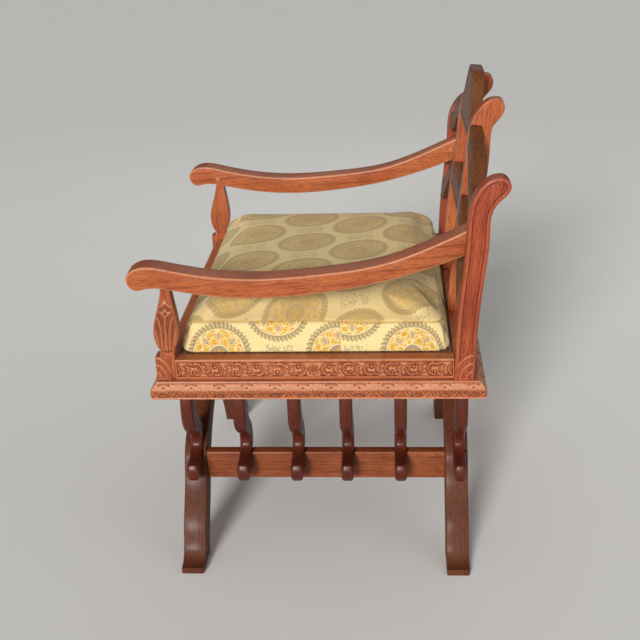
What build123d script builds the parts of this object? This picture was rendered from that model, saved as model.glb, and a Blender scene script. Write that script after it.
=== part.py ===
# Savonarola style armchair: a rigid box seat on crossed legs, with slatted ribs, open arms and a ladder back.
# Millimetres. +X is the sitter's left, -Y the front, +Z up. The origin is on the floor, under the middle.
import os
from math import atan, cos, sin, tan

from build123d import *

os.makedirs("parts", exist_ok=True)

# ---------------------------------------------------------------- driving dimensions
# plinth: the moulded frame that carries the seat
plinth_width = 700.0
plinth_depth = 560.0
plinth_middle_y = -4.5        # the back leans out, so the plinth lies in front of the chair's middle
plinth_underside = 361.0
plinth_height = 29.0
plinth_board = 122.0          # width of the four mitred boards
plinth_slope = 9.0            # run of the carved slope on the outer edge
plinth_band = 15.5            # height of the upright band under the slope
plinth_ledge = 20.0           # flat ledge left outside the seat rails

# seat rails
rail_height = 35.0
rail_thick = 24.0
rear_rail_thick = 33.0
seat_board_thick = 12.0
seat_board_gap = 1.0          # loose fit between the rails
cleat_width = 18.0
cleat_height = 16.0
corner_block_leg = 46.0

# arm supports
support_thick = 24.0
support_foot_depth = 25.0
support_foot_height = 46.0
support_foot_proud = 3.0
support_belly = 46.0
support_neck = 17.0
support_top = 578.0

# outer posts
post_thick = 30.0
post_foot_depth = 33.0
post_inset = 6.0              # outer face of the post behind the edge of the plinth
post_head_z = 734.5

# inner stiles
stile_thick = 26.0
stile_centre = 113.0
stile_foot_depth = 36.0

# arms
arm_thick = 42.0
arm_overhang = 45.0           # front end of the arm in front of its support
arm_rear_lap = 45.0           # rear end of the arm behind the front edge of the post's foot
arm_inset = 16.0              # middle of the arm's front end inside the support's outer face
arm_rear_top = 654.0
arm_rear_depth = 43.0
arm_plug_inset = 22.0         # plug centre in front of the arm's rear end

# back boards, all in one leaning plane
lean_rise = 8.5               # rise for each unit of rearward lean
back_set = 34.0               # the boards' front at back_plane_z, behind the foot of the stiles
back_plane_z = 767.0
board_thick = 21.0
crest_top = 844.0
crest_bottom = 738.0
mid_rail_top = 646.0
mid_rail_bottom = 604.0
mid_wing_drop = 92.0
crest_wing_end_z = 679.0      # middle of the crest wing where it meets the post
crest_wing_end = 34.0

# legs, seen from the front as two crossed curves
leg_thick = 41.0
leg_front_inset = 40.5        # middle of the front pair behind the edge of the plinth
leg_rear_inset = 39.5
leg_toe_inset = 15.0
leg_toe_height = 12.0
leg_drawn_reach = 335.0       # the outline of a leg is drawn for this reach from the middle
crossing_z = 310.0

# stretchers and ribs
stretcher_thick = 22.0
stretcher_height = 54.0
stretcher_bottom = 134.0
stretcher_drawn_x = 222.0     # outer face, where the legs have their drawn reach
stretcher_ease = 4.0
rib_thick = 22.0
rib_shares = (0.0, 0.191, 0.392, 0.581, 0.78, 1.0)  # hand spaced from the first rib to the last
first_rib_inset = 43.0
last_rib_inset = 35.0
rib_toe_reach = 55.0          # the toe stands this far out of the stretcher
rib_head_outset = 32.0        # middle of the rib's top outside the stretcher
rib_head_width = 34.0

# cushion
cushion_side_gap = 3.0        # to each arm support, which it passes when it is pulled out
cushion_end_gap = 2.0         # to the supports in front and the stiles behind
cushion_side = 49.0
cushion_crown = 36.0
cushion_corner = 24.0
cushion_crown_angle = 38.0    # slope of the crown's edge, from upright
cushion_clear = 0.3           # above the rails, so that it slides out freely

# fasteners
plug_diameter = 9.0
plug_depth = 4.0
screw_diameter = 4.0
rear_screw_length = 52.0
front_screw_length = 34.0
dowel_diameter = 8.0
dowel_length = 24.0
crossing_pin_diameter = 12.0
fit_gap = 0.1                 # radial room round plugs, screws, dowels and pins

# ---------------------------------------------------------------- worked out from them
half_width = plinth_width / 2
half_depth = plinth_depth / 2
plinth_front_y = plinth_middle_y - half_depth
plinth_rear_y = plinth_middle_y + half_depth
plinth_top = plinth_underside + plinth_height
rail_top = plinth_top + rail_height
rail_outer_x = half_width - plinth_ledge
rail_inner_x = rail_outer_x - rail_thick
front_rail_y = plinth_front_y + plinth_ledge
rear_rail_y = plinth_rear_y - plinth_ledge
support_inner_x = rail_inner_x
support_foot_x = rail_outer_x + support_foot_proud
support_outer_x = support_inner_x + support_thick
support_front_y = front_rail_y - support_foot_proud
support_rear_y = support_front_y + support_foot_depth
post_outer_x = half_width - post_inset
post_inner_x = post_outer_x - post_thick
post_front_y = rear_rail_y - post_foot_depth
stile_inner_x = stile_centre - stile_thick / 2
stile_outer_x = stile_centre + stile_thick / 2
stile_front_y = rear_rail_y - rear_rail_thick - 1
stile_rear_y = stile_front_y + stile_foot_depth
back_plane_y = stile_front_y + back_set
lean = atan(1 / lean_rise)
arm_front_y = support_front_y - arm_overhang
arm_rear_y = post_front_y + arm_rear_lap
arm_front_centre = support_outer_x - arm_inset
leg_front_y = plinth_front_y + leg_front_inset
leg_rear_y = plinth_rear_y - leg_rear_inset
leg_toe_x = half_width - leg_toe_inset
leg_reach = leg_toe_x / leg_drawn_reach
first_rib_y = plinth_front_y + first_rib_inset
last_rib_y = plinth_rear_y - last_rib_inset
rib_stations = [first_rib_y + share * (last_rib_y - first_rib_y) for share in rib_shares]
stretcher_outer_x = stretcher_drawn_x * leg_reach
rib_head_x = stretcher_outer_x + rib_head_outset
stretcher_top = stretcher_bottom + stretcher_height
stretcher_inner_x = stretcher_outer_x - stretcher_thick
stretcher_middle_x = (stretcher_inner_x + stretcher_outer_x) / 2
stretcher_middle_z = (stretcher_bottom + stretcher_top) / 2
cushion_width = 2 * (support_inner_x - cushion_side_gap)
cushion_depth = stile_front_y - support_rear_y - 2 * cushion_end_gap
cushion_bottom = rail_top + cushion_clear
seam_z = cushion_bottom + cushion_side

BACK = Plane(
    origin=(0, back_plane_y, back_plane_z),
    x_dir=(1, 0, 0),
    z_dir=(0, -cos(lean), sin(lean)),
)


def on_back(x, z):
    """A point of the leaning back plane, from its real width and height."""
    return (x, (z - back_plane_z) / cos(lean))


def at_back(z):
    """How far back the front face of the back boards lies at height z."""
    return back_plane_y - (back_plane_z - z) * tan(lean)


def finish(piece, label):
    piece.part.label = label
    export_step(piece.part, f"parts/{label}.step")


# ---------------------------------------------------------------- where the hidden fasteners lie
def drilled(places, diameter, length):
    """Takes a round hole for each fastener out of the piece that is being built."""
    for place in places:
        with BuildSketch(place) as hole:
            Circle(diameter / 2 + fit_gap)
        extrude(hole.sketch, amount=length, mode=Mode.SUBTRACT)


def both_sides(places):
    """The places of the left side and their mirror images on the right."""
    return places + [
        Plane(
            origin=(-place.origin.X, place.origin.Y, place.origin.Z),
            z_dir=(-place.z_dir.X, place.z_dir.Y, place.z_dir.Z),
        )
        for place in places
    ]


def turned(places, diameter, length):
    """A group of round pegs, one at each place."""
    with BuildPart() as group:
        for place in places:
            with BuildSketch(place):
                Circle(diameter / 2)
            extrude(amount=length)
    return group


rib_dowel_places = [
    Plane(origin=(rib_head_x, station, plinth_underside - dowel_length / 2)) for station in rib_stations
]

# ---------------------------------------------------------------- plinth
def plinth_side(length):
    """One mitred board of the plinth, lying along X with its outer edge to -Y."""
    across = half_depth if length == plinth_width else half_width
    with BuildPart() as board:
        with BuildSketch(Plane(origin=(0, plinth_middle_y, plinth_underside))):
            with BuildLine():
                Polyline(
                    (-length / 2, -across),
                    (length / 2, -across),
                    (length / 2 - plinth_board, -across + plinth_board),
                    (-length / 2 + plinth_board, -across + plinth_board),
                    close=True,
                )
            make_face()
        extrude(amount=plinth_height)
        outer_top = board.edges().filter_by(Axis.X).group_by(Axis.Y)[0].sort_by(Axis.Z)[-1]
        chamfer(outer_top, length=plinth_height - plinth_band, length2=plinth_slope)
    return board


plinth_long = plinth_side(plinth_width)
with BuildPart() as plinth_front:
    add(plinth_long.part)
    drilled(both_sides(rib_dowel_places), dowel_diameter, dowel_length)
finish(plinth_front, "plinth_front")

with BuildPart() as plinth_rear:
    mirror(plinth_long.part, about=Plane.XZ.offset(-plinth_middle_y))
    drilled(both_sides(rib_dowel_places), dowel_diameter, dowel_length)
finish(plinth_rear, "plinth_rear")

plinth_end = plinth_side(plinth_depth)
with BuildPart() as plinth_left:
    add(plinth_end.part.rotate(Axis((0, plinth_middle_y, 0), (0, 0, 1)), 90))
    drilled(rib_dowel_places, dowel_diameter, dowel_length)
finish(plinth_left, "plinth_left")

with BuildPart() as plinth_right:
    mirror(plinth_left.part, about=Plane.YZ)
finish(plinth_right, "plinth_right")

# ---------------------------------------------------------------- seat rails
with BuildPart() as rail_left:
    with BuildSketch(Plane.XY.offset(plinth_top)):
        with Locations((rail_inner_x, support_rear_y)):
            Rectangle(rail_thick, post_front_y - support_rear_y, align=(Align.MIN, Align.MIN))
    extrude(amount=rail_height)
finish(rail_left, "side_rail_left")

with BuildPart() as rail_right:
    mirror(rail_left.part, about=Plane.YZ)
finish(rail_right, "side_rail_right")

with BuildPart() as front_rail:
    with BuildSketch(Plane.XY.offset(plinth_top)):
        with Locations((0, front_rail_y)):
            Rectangle(2 * support_inner_x, rail_thick, align=(Align.CENTER, Align.MIN))
    extrude(amount=rail_height)
finish(front_rail, "front_rail")

with BuildPart() as rear_rail:
    with BuildSketch(Plane.XY.offset(plinth_top)):
        with Locations((0, rear_rail_y)):
            Rectangle(2 * post_inner_x, rear_rail_thick, align=(Align.CENTER, Align.MAX))
    extrude(amount=rail_height)
finish(rear_rail, "rear_rail")

# the seat board lies flush with the rails, on cleats fixed inside them
well_front = front_rail_y + rail_thick
well_rear = rear_rail_y - rear_rail_thick
board_underside = rail_top - seat_board_thick
cleat_bottom = board_underside - cleat_height

with BuildPart() as seat_board:
    with BuildSketch(Plane.XY.offset(board_underside)):
        with Locations((0, (well_front + well_rear) / 2)):
            Rectangle(2 * (rail_inner_x - seat_board_gap), well_rear - well_front - 2 * seat_board_gap)
    extrude(amount=seat_board_thick)
finish(seat_board, "seat_board")

with BuildPart() as seat_cleats:
    with BuildSketch(Plane.XY.offset(cleat_bottom)):
        with Locations((0, well_front)):
            Rectangle(2 * rail_inner_x, cleat_width, align=(Align.CENTER, Align.MIN))
        with Locations((0, well_rear)):
            Rectangle(2 * rail_inner_x, cleat_width, align=(Align.CENTER, Align.MAX))
    extrude(amount=cleat_height)
finish(seat_cleats, "seat_cleats")

with BuildPart() as corner_blocks:
    with BuildSketch(Plane.XY.offset(plinth_top)):
        for side in (-1, 1):
            for corner_y, inward in ((well_front, 1), (well_rear, -1)):
                with BuildLine():
                    Polyline(
                        (side * rail_inner_x, corner_y),
                        (side * (rail_inner_x - corner_block_leg), corner_y),
                        (side * rail_inner_x, corner_y + inward * corner_block_leg),
                        close=True,
                    )
                make_face()
    extrude(amount=cleat_bottom - plinth_top)
finish(corner_blocks, "corner_blocks")

# ---------------------------------------------------------------- how the arms are set
# Each arm takes the top of its support into a mortise at the front and lies inside the post at the rear.
arm_rear_centre = post_inner_x - arm_thick / 2
arm_splay = atan((arm_front_centre - arm_rear_centre) / (arm_rear_y - arm_front_y))
arm_stretch = 1 / cos(arm_splay)
arm_run = arm_rear_y - arm_front_y
ARM = Plane(
    origin=(arm_front_centre, arm_front_y, 0),
    x_dir=(-sin(arm_splay), cos(arm_splay), 0),
    z_dir=(cos(arm_splay), sin(arm_splay), 0),
)


def on_arm(run, z):
    """A point of the arm's side, from its run behind the arm's front end and its height."""
    return (run * arm_stretch, z)


def down_arm(share, z):
    """A point of the arm's side, from its share of the way to the rear end and its height."""
    return on_arm(share * arm_run, z)


def arm_plug(run, z):
    """Where a plug starts: in the arm's inner face, square to it."""
    along, height = on_arm(run, z)
    return Plane(
        origin=ARM.from_local_coords(Vector(along, height, -arm_thick / 2)), z_dir=ARM.z_dir
    )


support_mid_y = (support_front_y + support_rear_y) / 2
front_plug_place = arm_plug(support_mid_y + 5 - arm_front_y, support_top - 14)
rear_plug_place = arm_plug(arm_run - arm_plug_inset, arm_rear_top - arm_rear_depth / 2 - 8)

# ---------------------------------------------------------------- arm supports
belly_z = plinth_top + support_foot_height + 34
waist_z = plinth_top + support_foot_height + 4

with BuildPart() as support_left:
    with BuildSketch(Plane.YZ.offset(support_inner_x)):
        with BuildLine():
            Polyline(
                (support_front_y + 3, waist_z),
                (support_front_y, plinth_top + support_foot_height),
                (support_front_y, plinth_top),
                (support_rear_y, plinth_top),
                (support_rear_y, plinth_top + support_foot_height),
                (support_rear_y - 1, waist_z),
            )
            Spline(
                (support_rear_y - 1, waist_z),
                (support_mid_y - 2 + support_belly / 2, belly_z),
                (support_mid_y + 6 + support_neck / 2, belly_z + 68),
                (support_mid_y + 5 + support_neck / 2, support_top - support_neck / 2),
            )
            ThreePointArc(
                (support_mid_y + 5 + support_neck / 2, support_top - support_neck / 2),
                (support_mid_y + 5, support_top),
                (support_mid_y + 5 - support_neck / 2, support_top - support_neck / 2),
            )
            Spline(
                (support_mid_y + 5 - support_neck / 2, support_top - support_neck / 2),
                (support_mid_y + 4 - support_neck / 2, belly_z + 68),
                (support_mid_y + 3 - support_belly / 2, belly_z),
                (support_front_y + 3, waist_z),
            )
        make_face()
    extrude(amount=support_thick)
    with BuildSketch(Plane.XY.offset(plinth_top)):
        with Locations((support_outer_x, support_front_y)):
            Rectangle(
                support_foot_x - support_outer_x, support_foot_depth, align=(Align.MIN, Align.MIN)
            )
    extrude(amount=support_foot_height - 4)
    drilled([front_plug_place], screw_diameter, plug_depth + front_screw_length)
finish(support_left, "arm_support_left")

with BuildPart() as support_right:
    mirror(support_left.part, about=Plane.YZ)
finish(support_right, "arm_support_right")

# ---------------------------------------------------------------- how the back boards are set
# dowels run along the boards of the back, through the stiles and into the posts
wing_end_z = (mid_rail_top + mid_rail_bottom) / 2 - mid_wing_drop


def back_dowel(x, z):
    return Plane(origin=(x, at_back(z) + board_thick / 2, z), z_dir=(1, 0, 0))


stile_dowel_length = stile_thick + dowel_length
stile_dowel_places = [
    back_dowel(stile_inner_x - dowel_length / 2, z)
    for z in (crest_bottom + 12, (mid_rail_top + mid_rail_bottom) / 2)
]
post_dowel_places = [
    back_dowel(post_inner_x - dowel_length / 2, z) for z in (crest_wing_end_z, wing_end_z)
]

# ---------------------------------------------------------------- outer posts, with a head that rolls back
post_rear_y = rear_rail_y - 1
head_top = (post_front_y + 66, post_head_z)

with BuildPart() as post_left:
    with BuildSketch(Plane.YZ.offset(post_inner_x)):
        with BuildLine():
            Line((post_rear_y, plinth_top), (post_front_y, plinth_top))
            Spline(
                (post_front_y, plinth_top),
                (post_front_y + 8, 540),
                (post_front_y + 17, 640),
                (post_front_y + 23, 695),
                (post_front_y + 34, 716),
                (post_front_y + 49, 730),
                head_top,
            )
            Spline(
                head_top,
                (post_front_y + 78, 730),
                (post_front_y + 83, 719),
                (post_front_y + 78, 707),
                (post_front_y + 67, 697),
                (post_front_y + 56, 681),
                (post_front_y + 52, 643),
                (post_front_y + 44, 560),
                (post_rear_y, plinth_top),
            )
        make_face()
    extrude(amount=post_thick)
    drilled([rear_plug_place], screw_diameter, plug_depth + rear_screw_length)
    drilled(post_dowel_places, dowel_diameter, dowel_length)
finish(post_left, "outer_post_left")

with BuildPart() as post_right:
    mirror(post_left.part, about=Plane.YZ)
finish(post_right, "outer_post_right")

# ---------------------------------------------------------------- inner stiles, taller, with the same head
stile_head = (stile_front_y + 77, 811)

with BuildPart() as stile_left:
    with BuildSketch(Plane.YZ.offset(stile_inner_x)):
        with BuildLine():
            Line((stile_rear_y, rail_top), (stile_front_y, rail_top))
            Spline(
                (stile_front_y, rail_top),
                (stile_front_y + 7, 530),
                (stile_front_y + 19, 640),
                (stile_front_y + 27, 710),
                (stile_front_y + 35, 767),
                (stile_front_y + 50, 796),
                (stile_front_y + 64, 808),
                stile_head,
            )
            Spline(
                stile_head,
                (stile_front_y + 88, 807),
                (stile_front_y + 92, 796),
                (stile_front_y + 88, 782),
                (stile_front_y + 74, 765),
                (stile_front_y + 69, 735),
                (stile_front_y + 64, 670),
                (stile_front_y + 50, 540),
                (stile_rear_y, rail_top),
            )
        make_face()
    extrude(amount=stile_thick)
    drilled(stile_dowel_places, dowel_diameter, stile_dowel_length)
finish(stile_left, "inner_stile_left")

with BuildPart() as stile_right:
    mirror(stile_left.part, about=Plane.YZ)
finish(stile_right, "inner_stile_right")

# ---------------------------------------------------------------- arms
with BuildPart() as arm_left:
    with BuildSketch(ARM):
        with BuildLine():
            Spline(
                on_arm(7, 583),
                on_arm(21, 590),
                on_arm(68, 586),
                down_arm(0.22, 574),
                down_arm(0.37, 567),
                down_arm(0.55, 573),
                down_arm(0.73, 589),
                down_arm(0.85, 614),
                down_arm(1, arm_rear_top),
            )
            Line(down_arm(1, arm_rear_top), down_arm(1, arm_rear_top - arm_rear_depth))
            Spline(
                down_arm(1, arm_rear_top - arm_rear_depth),
                down_arm(0.85, 578),
                down_arm(0.73, 558),
                down_arm(0.55, 540),
                down_arm(0.38, 533),
                down_arm(0.23, 539),
                on_arm(78, 549),
                on_arm(44, 554),
                on_arm(20, 550),
            )
            Spline(on_arm(20, 550), on_arm(5, 556), on_arm(0, 570), on_arm(7, 583))
        make_face()
    extrude(amount=arm_thick / 2, both=True)
    # mortised for the support at the front and housed for the post at the rear
    add(support_left.part, mode=Mode.SUBTRACT)
    add(post_left.part, mode=Mode.SUBTRACT)
    drilled([front_plug_place, rear_plug_place], plug_diameter, plug_depth)
    drilled([front_plug_place], screw_diameter, plug_depth + front_screw_length)
    drilled([rear_plug_place], screw_diameter, plug_depth + rear_screw_length)
finish(arm_left, "arm_left")

with BuildPart() as arm_right:
    mirror(arm_left.part, about=Plane.YZ)
finish(arm_right, "arm_right")

# ---------------------------------------------------------------- back boards
with BuildPart() as crest_centre:
    with BuildSketch(BACK):
        with BuildLine():
            rise = [(1, 68), (0.86, 58), (0.66, 33), (0.5, 13), (0.26, 0)]
            right_rise = [(share * stile_inner_x, crest_top - drop) for share, drop in rise]
            left_rise = [(-x, z) for x, z in reversed(right_rise)]
            Spline(*[on_back(x, z) for x, z in right_rise])
            Line(on_back(*right_rise[-1]), on_back(*left_rise[0]))
            Spline(*[on_back(x, z) for x, z in left_rise])
            Polyline(
                on_back(*left_rise[-1]),
                on_back(-stile_inner_x, crest_bottom),
                on_back(stile_inner_x, crest_bottom),
                on_back(*right_rise[0]),
            )
        make_face()
    extrude(amount=-board_thick)
    drilled(both_sides(stile_dowel_places), dowel_diameter, stile_dowel_length)
finish(crest_centre, "crest_centre")

def on_wing(share, z):
    """A point of a wing, from its share of the way from the stile to the post and its height."""
    return on_back(stile_outer_x + share * (post_inner_x - stile_outer_x), z)


crest_wing_end_top = crest_wing_end_z + crest_wing_end / 2
crest_wing_end_bottom = crest_wing_end_z - crest_wing_end / 2

with BuildPart() as crest_wing_left:
    with BuildSketch(BACK):
        with BuildLine():
            Spline(on_wing(0, 768), on_wing(0.128, 759), on_wing(0.277, 748))
            Spline(
                on_wing(0.277, 748),
                on_wing(0.34, 752),
                on_wing(0.527, 742),
                on_wing(0.723, 714),
                on_wing(1, crest_wing_end_top),
            )
            Line(on_wing(1, crest_wing_end_top), on_wing(1, crest_wing_end_bottom))
            Spline(
                on_wing(1, crest_wing_end_bottom),
                on_wing(0.766, 668),
                on_wing(0.5, 688),
                on_wing(0.234, 716),
                on_wing(0, 724),
            )
            Line(on_wing(0, 724), on_wing(0, 768))
        make_face()
    extrude(amount=-board_thick)
    drilled(stile_dowel_places, dowel_diameter, stile_dowel_length)
    drilled(post_dowel_places, dowel_diameter, dowel_length)
finish(crest_wing_left, "crest_wing_left")

with BuildPart() as crest_wing_right:
    mirror(crest_wing_left.part, about=Plane.YZ)
finish(crest_wing_right, "crest_wing_right")

with BuildPart() as mid_rail:
    with BuildSketch(BACK):
        with BuildLine():
            Polyline(
                on_back(-stile_inner_x, mid_rail_bottom),
                on_back(stile_inner_x, mid_rail_bottom),
                on_back(stile_inner_x, mid_rail_top),
                on_back(-stile_inner_x, mid_rail_top),
                close=True,
            )
        make_face()
    extrude(amount=-board_thick)
    drilled(both_sides(stile_dowel_places), dowel_diameter, stile_dowel_length)
finish(mid_rail, "mid_rail")

with BuildPart() as mid_wing_left:
    with BuildSketch(BACK):
        with BuildLine():
            fall = [(0, 0), (0.26, 0.2), (0.633, 0.72), (1, 1)]
            upper = [on_wing(share, mid_rail_top - drop * mid_wing_drop) for share, drop in fall]
            lower = [on_wing(share, mid_rail_bottom - drop * mid_wing_drop) for share, drop in fall]
            Spline(*upper)
            Line(upper[-1], lower[-1])
            Spline(*reversed(lower))
            Line(lower[0], upper[0])
        make_face()
    extrude(amount=-board_thick)
    drilled(stile_dowel_places, dowel_diameter, stile_dowel_length)
    drilled(post_dowel_places, dowel_diameter, dowel_length)
finish(mid_wing_left, "mid_wing_left")

with BuildPart() as mid_wing_right:
    mirror(mid_wing_left.part, about=Plane.YZ)
finish(mid_wing_right, "mid_wing_right")

# ---------------------------------------------------------------- legs, crossing under the seat
def leg_outline(side):
    """The curve of one leg, from its toe on the floor to its end under the far half of the plinth."""
    outer = [
        (leg_drawn_reach, leg_toe_height),
        (312, 17),
        (288, 62),
        (259, 108),
        (236, 148),
        (222, 185),
        (190, 214),
        (135, 254),
        (62, 300),
        (-18, 340),
        (-66, plinth_underside),
    ]
    inner = [
        (-136, plinth_underside),
        (-60, 318),
        (20, 274),
        (96, 226),
        (150, 186),
        (180, 148),
        (205, 100),
        (236, 52),
        (262, 0),
    ]
    outer = [(side * leg_reach * x, z) for x, z in outer]
    inner = [(side * leg_reach * x, z) for x, z in inner]
    with BuildLine() as outline:
        Spline(*outer)
        Line(outer[-1], inner[0])
        Spline(*inner)
        Polyline(inner[-1], (side * leg_toe_x, 0), outer[0])
    return outline.line


def crossing_pin(middle_y):
    return Plane(origin=(0, middle_y + leg_thick / 2, crossing_z), z_dir=(0, -1, 0))


def stretcher_dowel(middle_y, inward):
    """Where a dowel starts in a leg, to run into the stretcher's end."""
    end_y = middle_y + inward * leg_thick / 2
    return Plane(
        origin=(stretcher_middle_x, end_y - inward * dowel_length / 2, stretcher_middle_z),
        z_dir=(0, inward, 0),
    )


stretcher_dowel_places = [stretcher_dowel(leg_front_y, 1), stretcher_dowel(leg_rear_y, -1)]


def leg(side, middle_y, lap):
    """One leg, halved where it crosses its pair; lap is the side of the joint that is cut away."""
    with BuildPart() as one_leg:
        with BuildSketch(Plane.XZ.offset(-middle_y)):
            add(leg_outline(side))
            make_face()
        extrude(amount=leg_thick / 2, both=True)
        with BuildSketch(Plane.XZ.offset(-middle_y)):
            add(leg_outline(-side))
            make_face()
        extrude(amount=lap * leg_thick / 2, mode=Mode.SUBTRACT)
        drilled([crossing_pin(middle_y)], crossing_pin_diameter, leg_thick)
        drilled(both_sides(stretcher_dowel_places), dowel_diameter, dowel_length)
    return one_leg


for place, middle_y in (("front", leg_front_y), ("rear", leg_rear_y)):
    finish(leg(1, middle_y, 1), f"leg_{place}_left")
    finish(leg(-1, middle_y, -1), f"leg_{place}_right")

# ---------------------------------------------------------------- stretchers between the legs
with BuildPart() as stretcher_left:
    with BuildSketch(Plane.XZ.offset(-(leg_front_y + leg_thick / 2))):
        with Locations((stretcher_inner_x, stretcher_bottom)):
            Rectangle(stretcher_thick, stretcher_height, align=(Align.MIN, Align.MIN))
    extrude(amount=-(leg_rear_y - leg_front_y - leg_thick))
    lower_outer = stretcher_left.edges().filter_by(Axis.Y).group_by(Axis.X)[-1].sort_by(Axis.Z)[0]
    chamfer(lower_outer, length=stretcher_ease)
    drilled(stretcher_dowel_places, dowel_diameter, dowel_length)
finish(stretcher_left, "side_stretcher_left")

with BuildPart() as stretcher_right:
    mirror(stretcher_left.part, about=Plane.YZ)
finish(stretcher_right, "side_stretcher_right")

# ---------------------------------------------------------------- ribs, hooked over the stretchers
toe_x = stretcher_outer_x + rib_toe_reach
head_inner = rib_head_x - rib_head_width / 2
head_outer = rib_head_x + rib_head_width / 2


def rib(station):
    """One rib of the left side; the end ribs are rabbeted over the legs."""
    with BuildPart() as one_rib:
        with BuildSketch(Plane.XZ.offset(-station)):
            with BuildLine():
                Spline(
                    (head_outer, plinth_underside),
                    (head_outer + 9, 325),
                    (head_outer + 11, 292),
                    (head_outer + 3, 266),
                    (head_outer - 22, 243),
                    (stretcher_outer_x - 2, stretcher_top + 30),
                    (stretcher_outer_x - 3, stretcher_top + 15),
                    (stretcher_outer_x + 8, stretcher_top + 6),
                    (toe_x - 18, stretcher_top + 3),
                    (toe_x - 4, stretcher_top),
                )
                Spline(
                    (toe_x - 4, stretcher_top),
                    (toe_x, stretcher_top - 9),
                    (toe_x - 2, stretcher_top - 24),
                    (toe_x - 9, stretcher_top - 33),
                )
                Spline(
                    (toe_x - 9, stretcher_top - 33),
                    (toe_x - 30, stretcher_top - 29),
                    (stretcher_outer_x, stretcher_top - 33),
                )
                Polyline(
                    (stretcher_outer_x, stretcher_top - 33),
                    (stretcher_outer_x, stretcher_top),
                    (stretcher_inner_x, stretcher_top),
                )
                Spline(
                    (stretcher_inner_x, stretcher_top),
                    (stretcher_inner_x - 12, stretcher_top + 16),
                    (stretcher_inner_x - 8, stretcher_top + 42),
                    (head_inner - 24, 256),
                    (head_inner - 4, 278),
                    (head_inner + 4, 306),
                    (head_inner, plinth_underside),
                )
                Line((head_inner, plinth_underside), (head_outer, plinth_underside))
            make_face()
        extrude(amount=rib_thick / 2, both=True)
        for middle_y in (leg_front_y, leg_rear_y):
            if abs(station - middle_y) < (leg_thick + rib_thick) / 2:
                with BuildSketch(Plane.XZ.offset(-middle_y)):
                    add(leg_outline(1))
                    make_face()
                extrude(amount=leg_thick / 2, both=True, mode=Mode.SUBTRACT)
        drilled(rib_dowel_places, dowel_diameter, dowel_length)
    return one_rib


for number, station in enumerate(rib_stations, start=1):
    left_rib = rib(station)
    finish(left_rib, f"rib_left_{number}")
    with BuildPart() as right_rib:
        mirror(left_rib.part, about=Plane.YZ)
    finish(right_rib, f"rib_right_{number}")

# ---------------------------------------------------------------- loose cushion
cushion_mid_y = (support_rear_y + stile_front_y) / 2

with BuildPart() as cushion:
    with BuildSketch(Plane.XY.offset(cushion_bottom)):
        with Locations((0, cushion_mid_y)):
            RectangleRounded(cushion_width, cushion_depth, cushion_corner)
    extrude(amount=cushion_side)
    with BuildSketch(Plane.XY.offset(seam_z)):
        with Locations((0, cushion_mid_y)):
            RectangleRounded(cushion_width, cushion_depth, cushion_corner)
    extrude(amount=cushion_crown, taper=cushion_crown_angle)
finish(cushion, "seat_cushion")

# ---------------------------------------------------------------- screws, plugs, dowels and pins
def moved_along(places, distance):
    return [place.offset(distance) for place in places]


arm_plug_places = both_sides([front_plug_place, rear_plug_place])
screw_plugs = turned(arm_plug_places, plug_diameter, plug_depth)
finish(screw_plugs, "screw_plugs")

front_screw_places = moved_along(both_sides([front_plug_place]), plug_depth)
front_screws = turned(front_screw_places, screw_diameter, front_screw_length)
finish(front_screws, "front_arm_screws")

rear_screw_places = moved_along(both_sides([rear_plug_place]), plug_depth)
rear_screws = turned(rear_screw_places, screw_diameter, rear_screw_length)
finish(rear_screws, "rear_arm_screws")

stile_dowels = turned(both_sides(stile_dowel_places), dowel_diameter, stile_dowel_length)
finish(stile_dowels, "stile_dowels")

post_dowels = turned(both_sides(post_dowel_places), dowel_diameter, dowel_length)
finish(post_dowels, "post_dowels")

rib_dowels = turned(both_sides(rib_dowel_places), dowel_diameter, dowel_length)
finish(rib_dowels, "rib_dowels")

stretcher_dowels = turned(both_sides(stretcher_dowel_places), dowel_diameter, dowel_length)
finish(stretcher_dowels, "stretcher_dowels")

crossing_pins = turned(
    [crossing_pin(leg_front_y), crossing_pin(leg_rear_y)], crossing_pin_diameter, leg_thick
)
finish(crossing_pins, "crossing_pins")
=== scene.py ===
"""Looks of a rigid armchair in the Savonarola style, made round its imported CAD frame.

Laid out as an add-on and run as a script. Metres: +X is the sitter's left, -Y the front, +Z up.
"""
import math
from functools import partial

import bmesh
import bpy
import numpy as np
from bpy.props import FloatProperty, FloatVectorProperty, IntProperty, PointerProperty
from mathutils import Matrix, Vector
from mathutils.geometry import delaunay_2d_cdt


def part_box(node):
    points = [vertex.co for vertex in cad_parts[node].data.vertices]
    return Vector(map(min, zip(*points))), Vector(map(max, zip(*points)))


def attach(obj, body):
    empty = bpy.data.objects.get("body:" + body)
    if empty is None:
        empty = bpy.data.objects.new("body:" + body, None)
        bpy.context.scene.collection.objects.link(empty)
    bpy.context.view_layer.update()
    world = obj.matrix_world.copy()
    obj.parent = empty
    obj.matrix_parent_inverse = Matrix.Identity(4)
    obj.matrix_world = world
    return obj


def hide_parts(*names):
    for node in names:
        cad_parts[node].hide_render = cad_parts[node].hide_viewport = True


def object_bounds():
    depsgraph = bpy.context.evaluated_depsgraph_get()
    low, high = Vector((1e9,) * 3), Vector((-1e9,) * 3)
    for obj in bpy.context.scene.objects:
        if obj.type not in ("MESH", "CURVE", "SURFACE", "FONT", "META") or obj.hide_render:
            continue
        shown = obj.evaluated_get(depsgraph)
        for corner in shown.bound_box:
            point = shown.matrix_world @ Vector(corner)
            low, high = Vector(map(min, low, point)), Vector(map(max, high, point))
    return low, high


bl_info = {
    "name": "Savonarola Armchair",
    "version": (1, 0, 0),
    "blender": (4, 5, 0),
    "location": "View3D > Sidebar > Armchair",
    "description": "Carved and polished wood, a figured cushion and a studio for the armchair's frame",
    "category": "Add Mesh",
}

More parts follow.
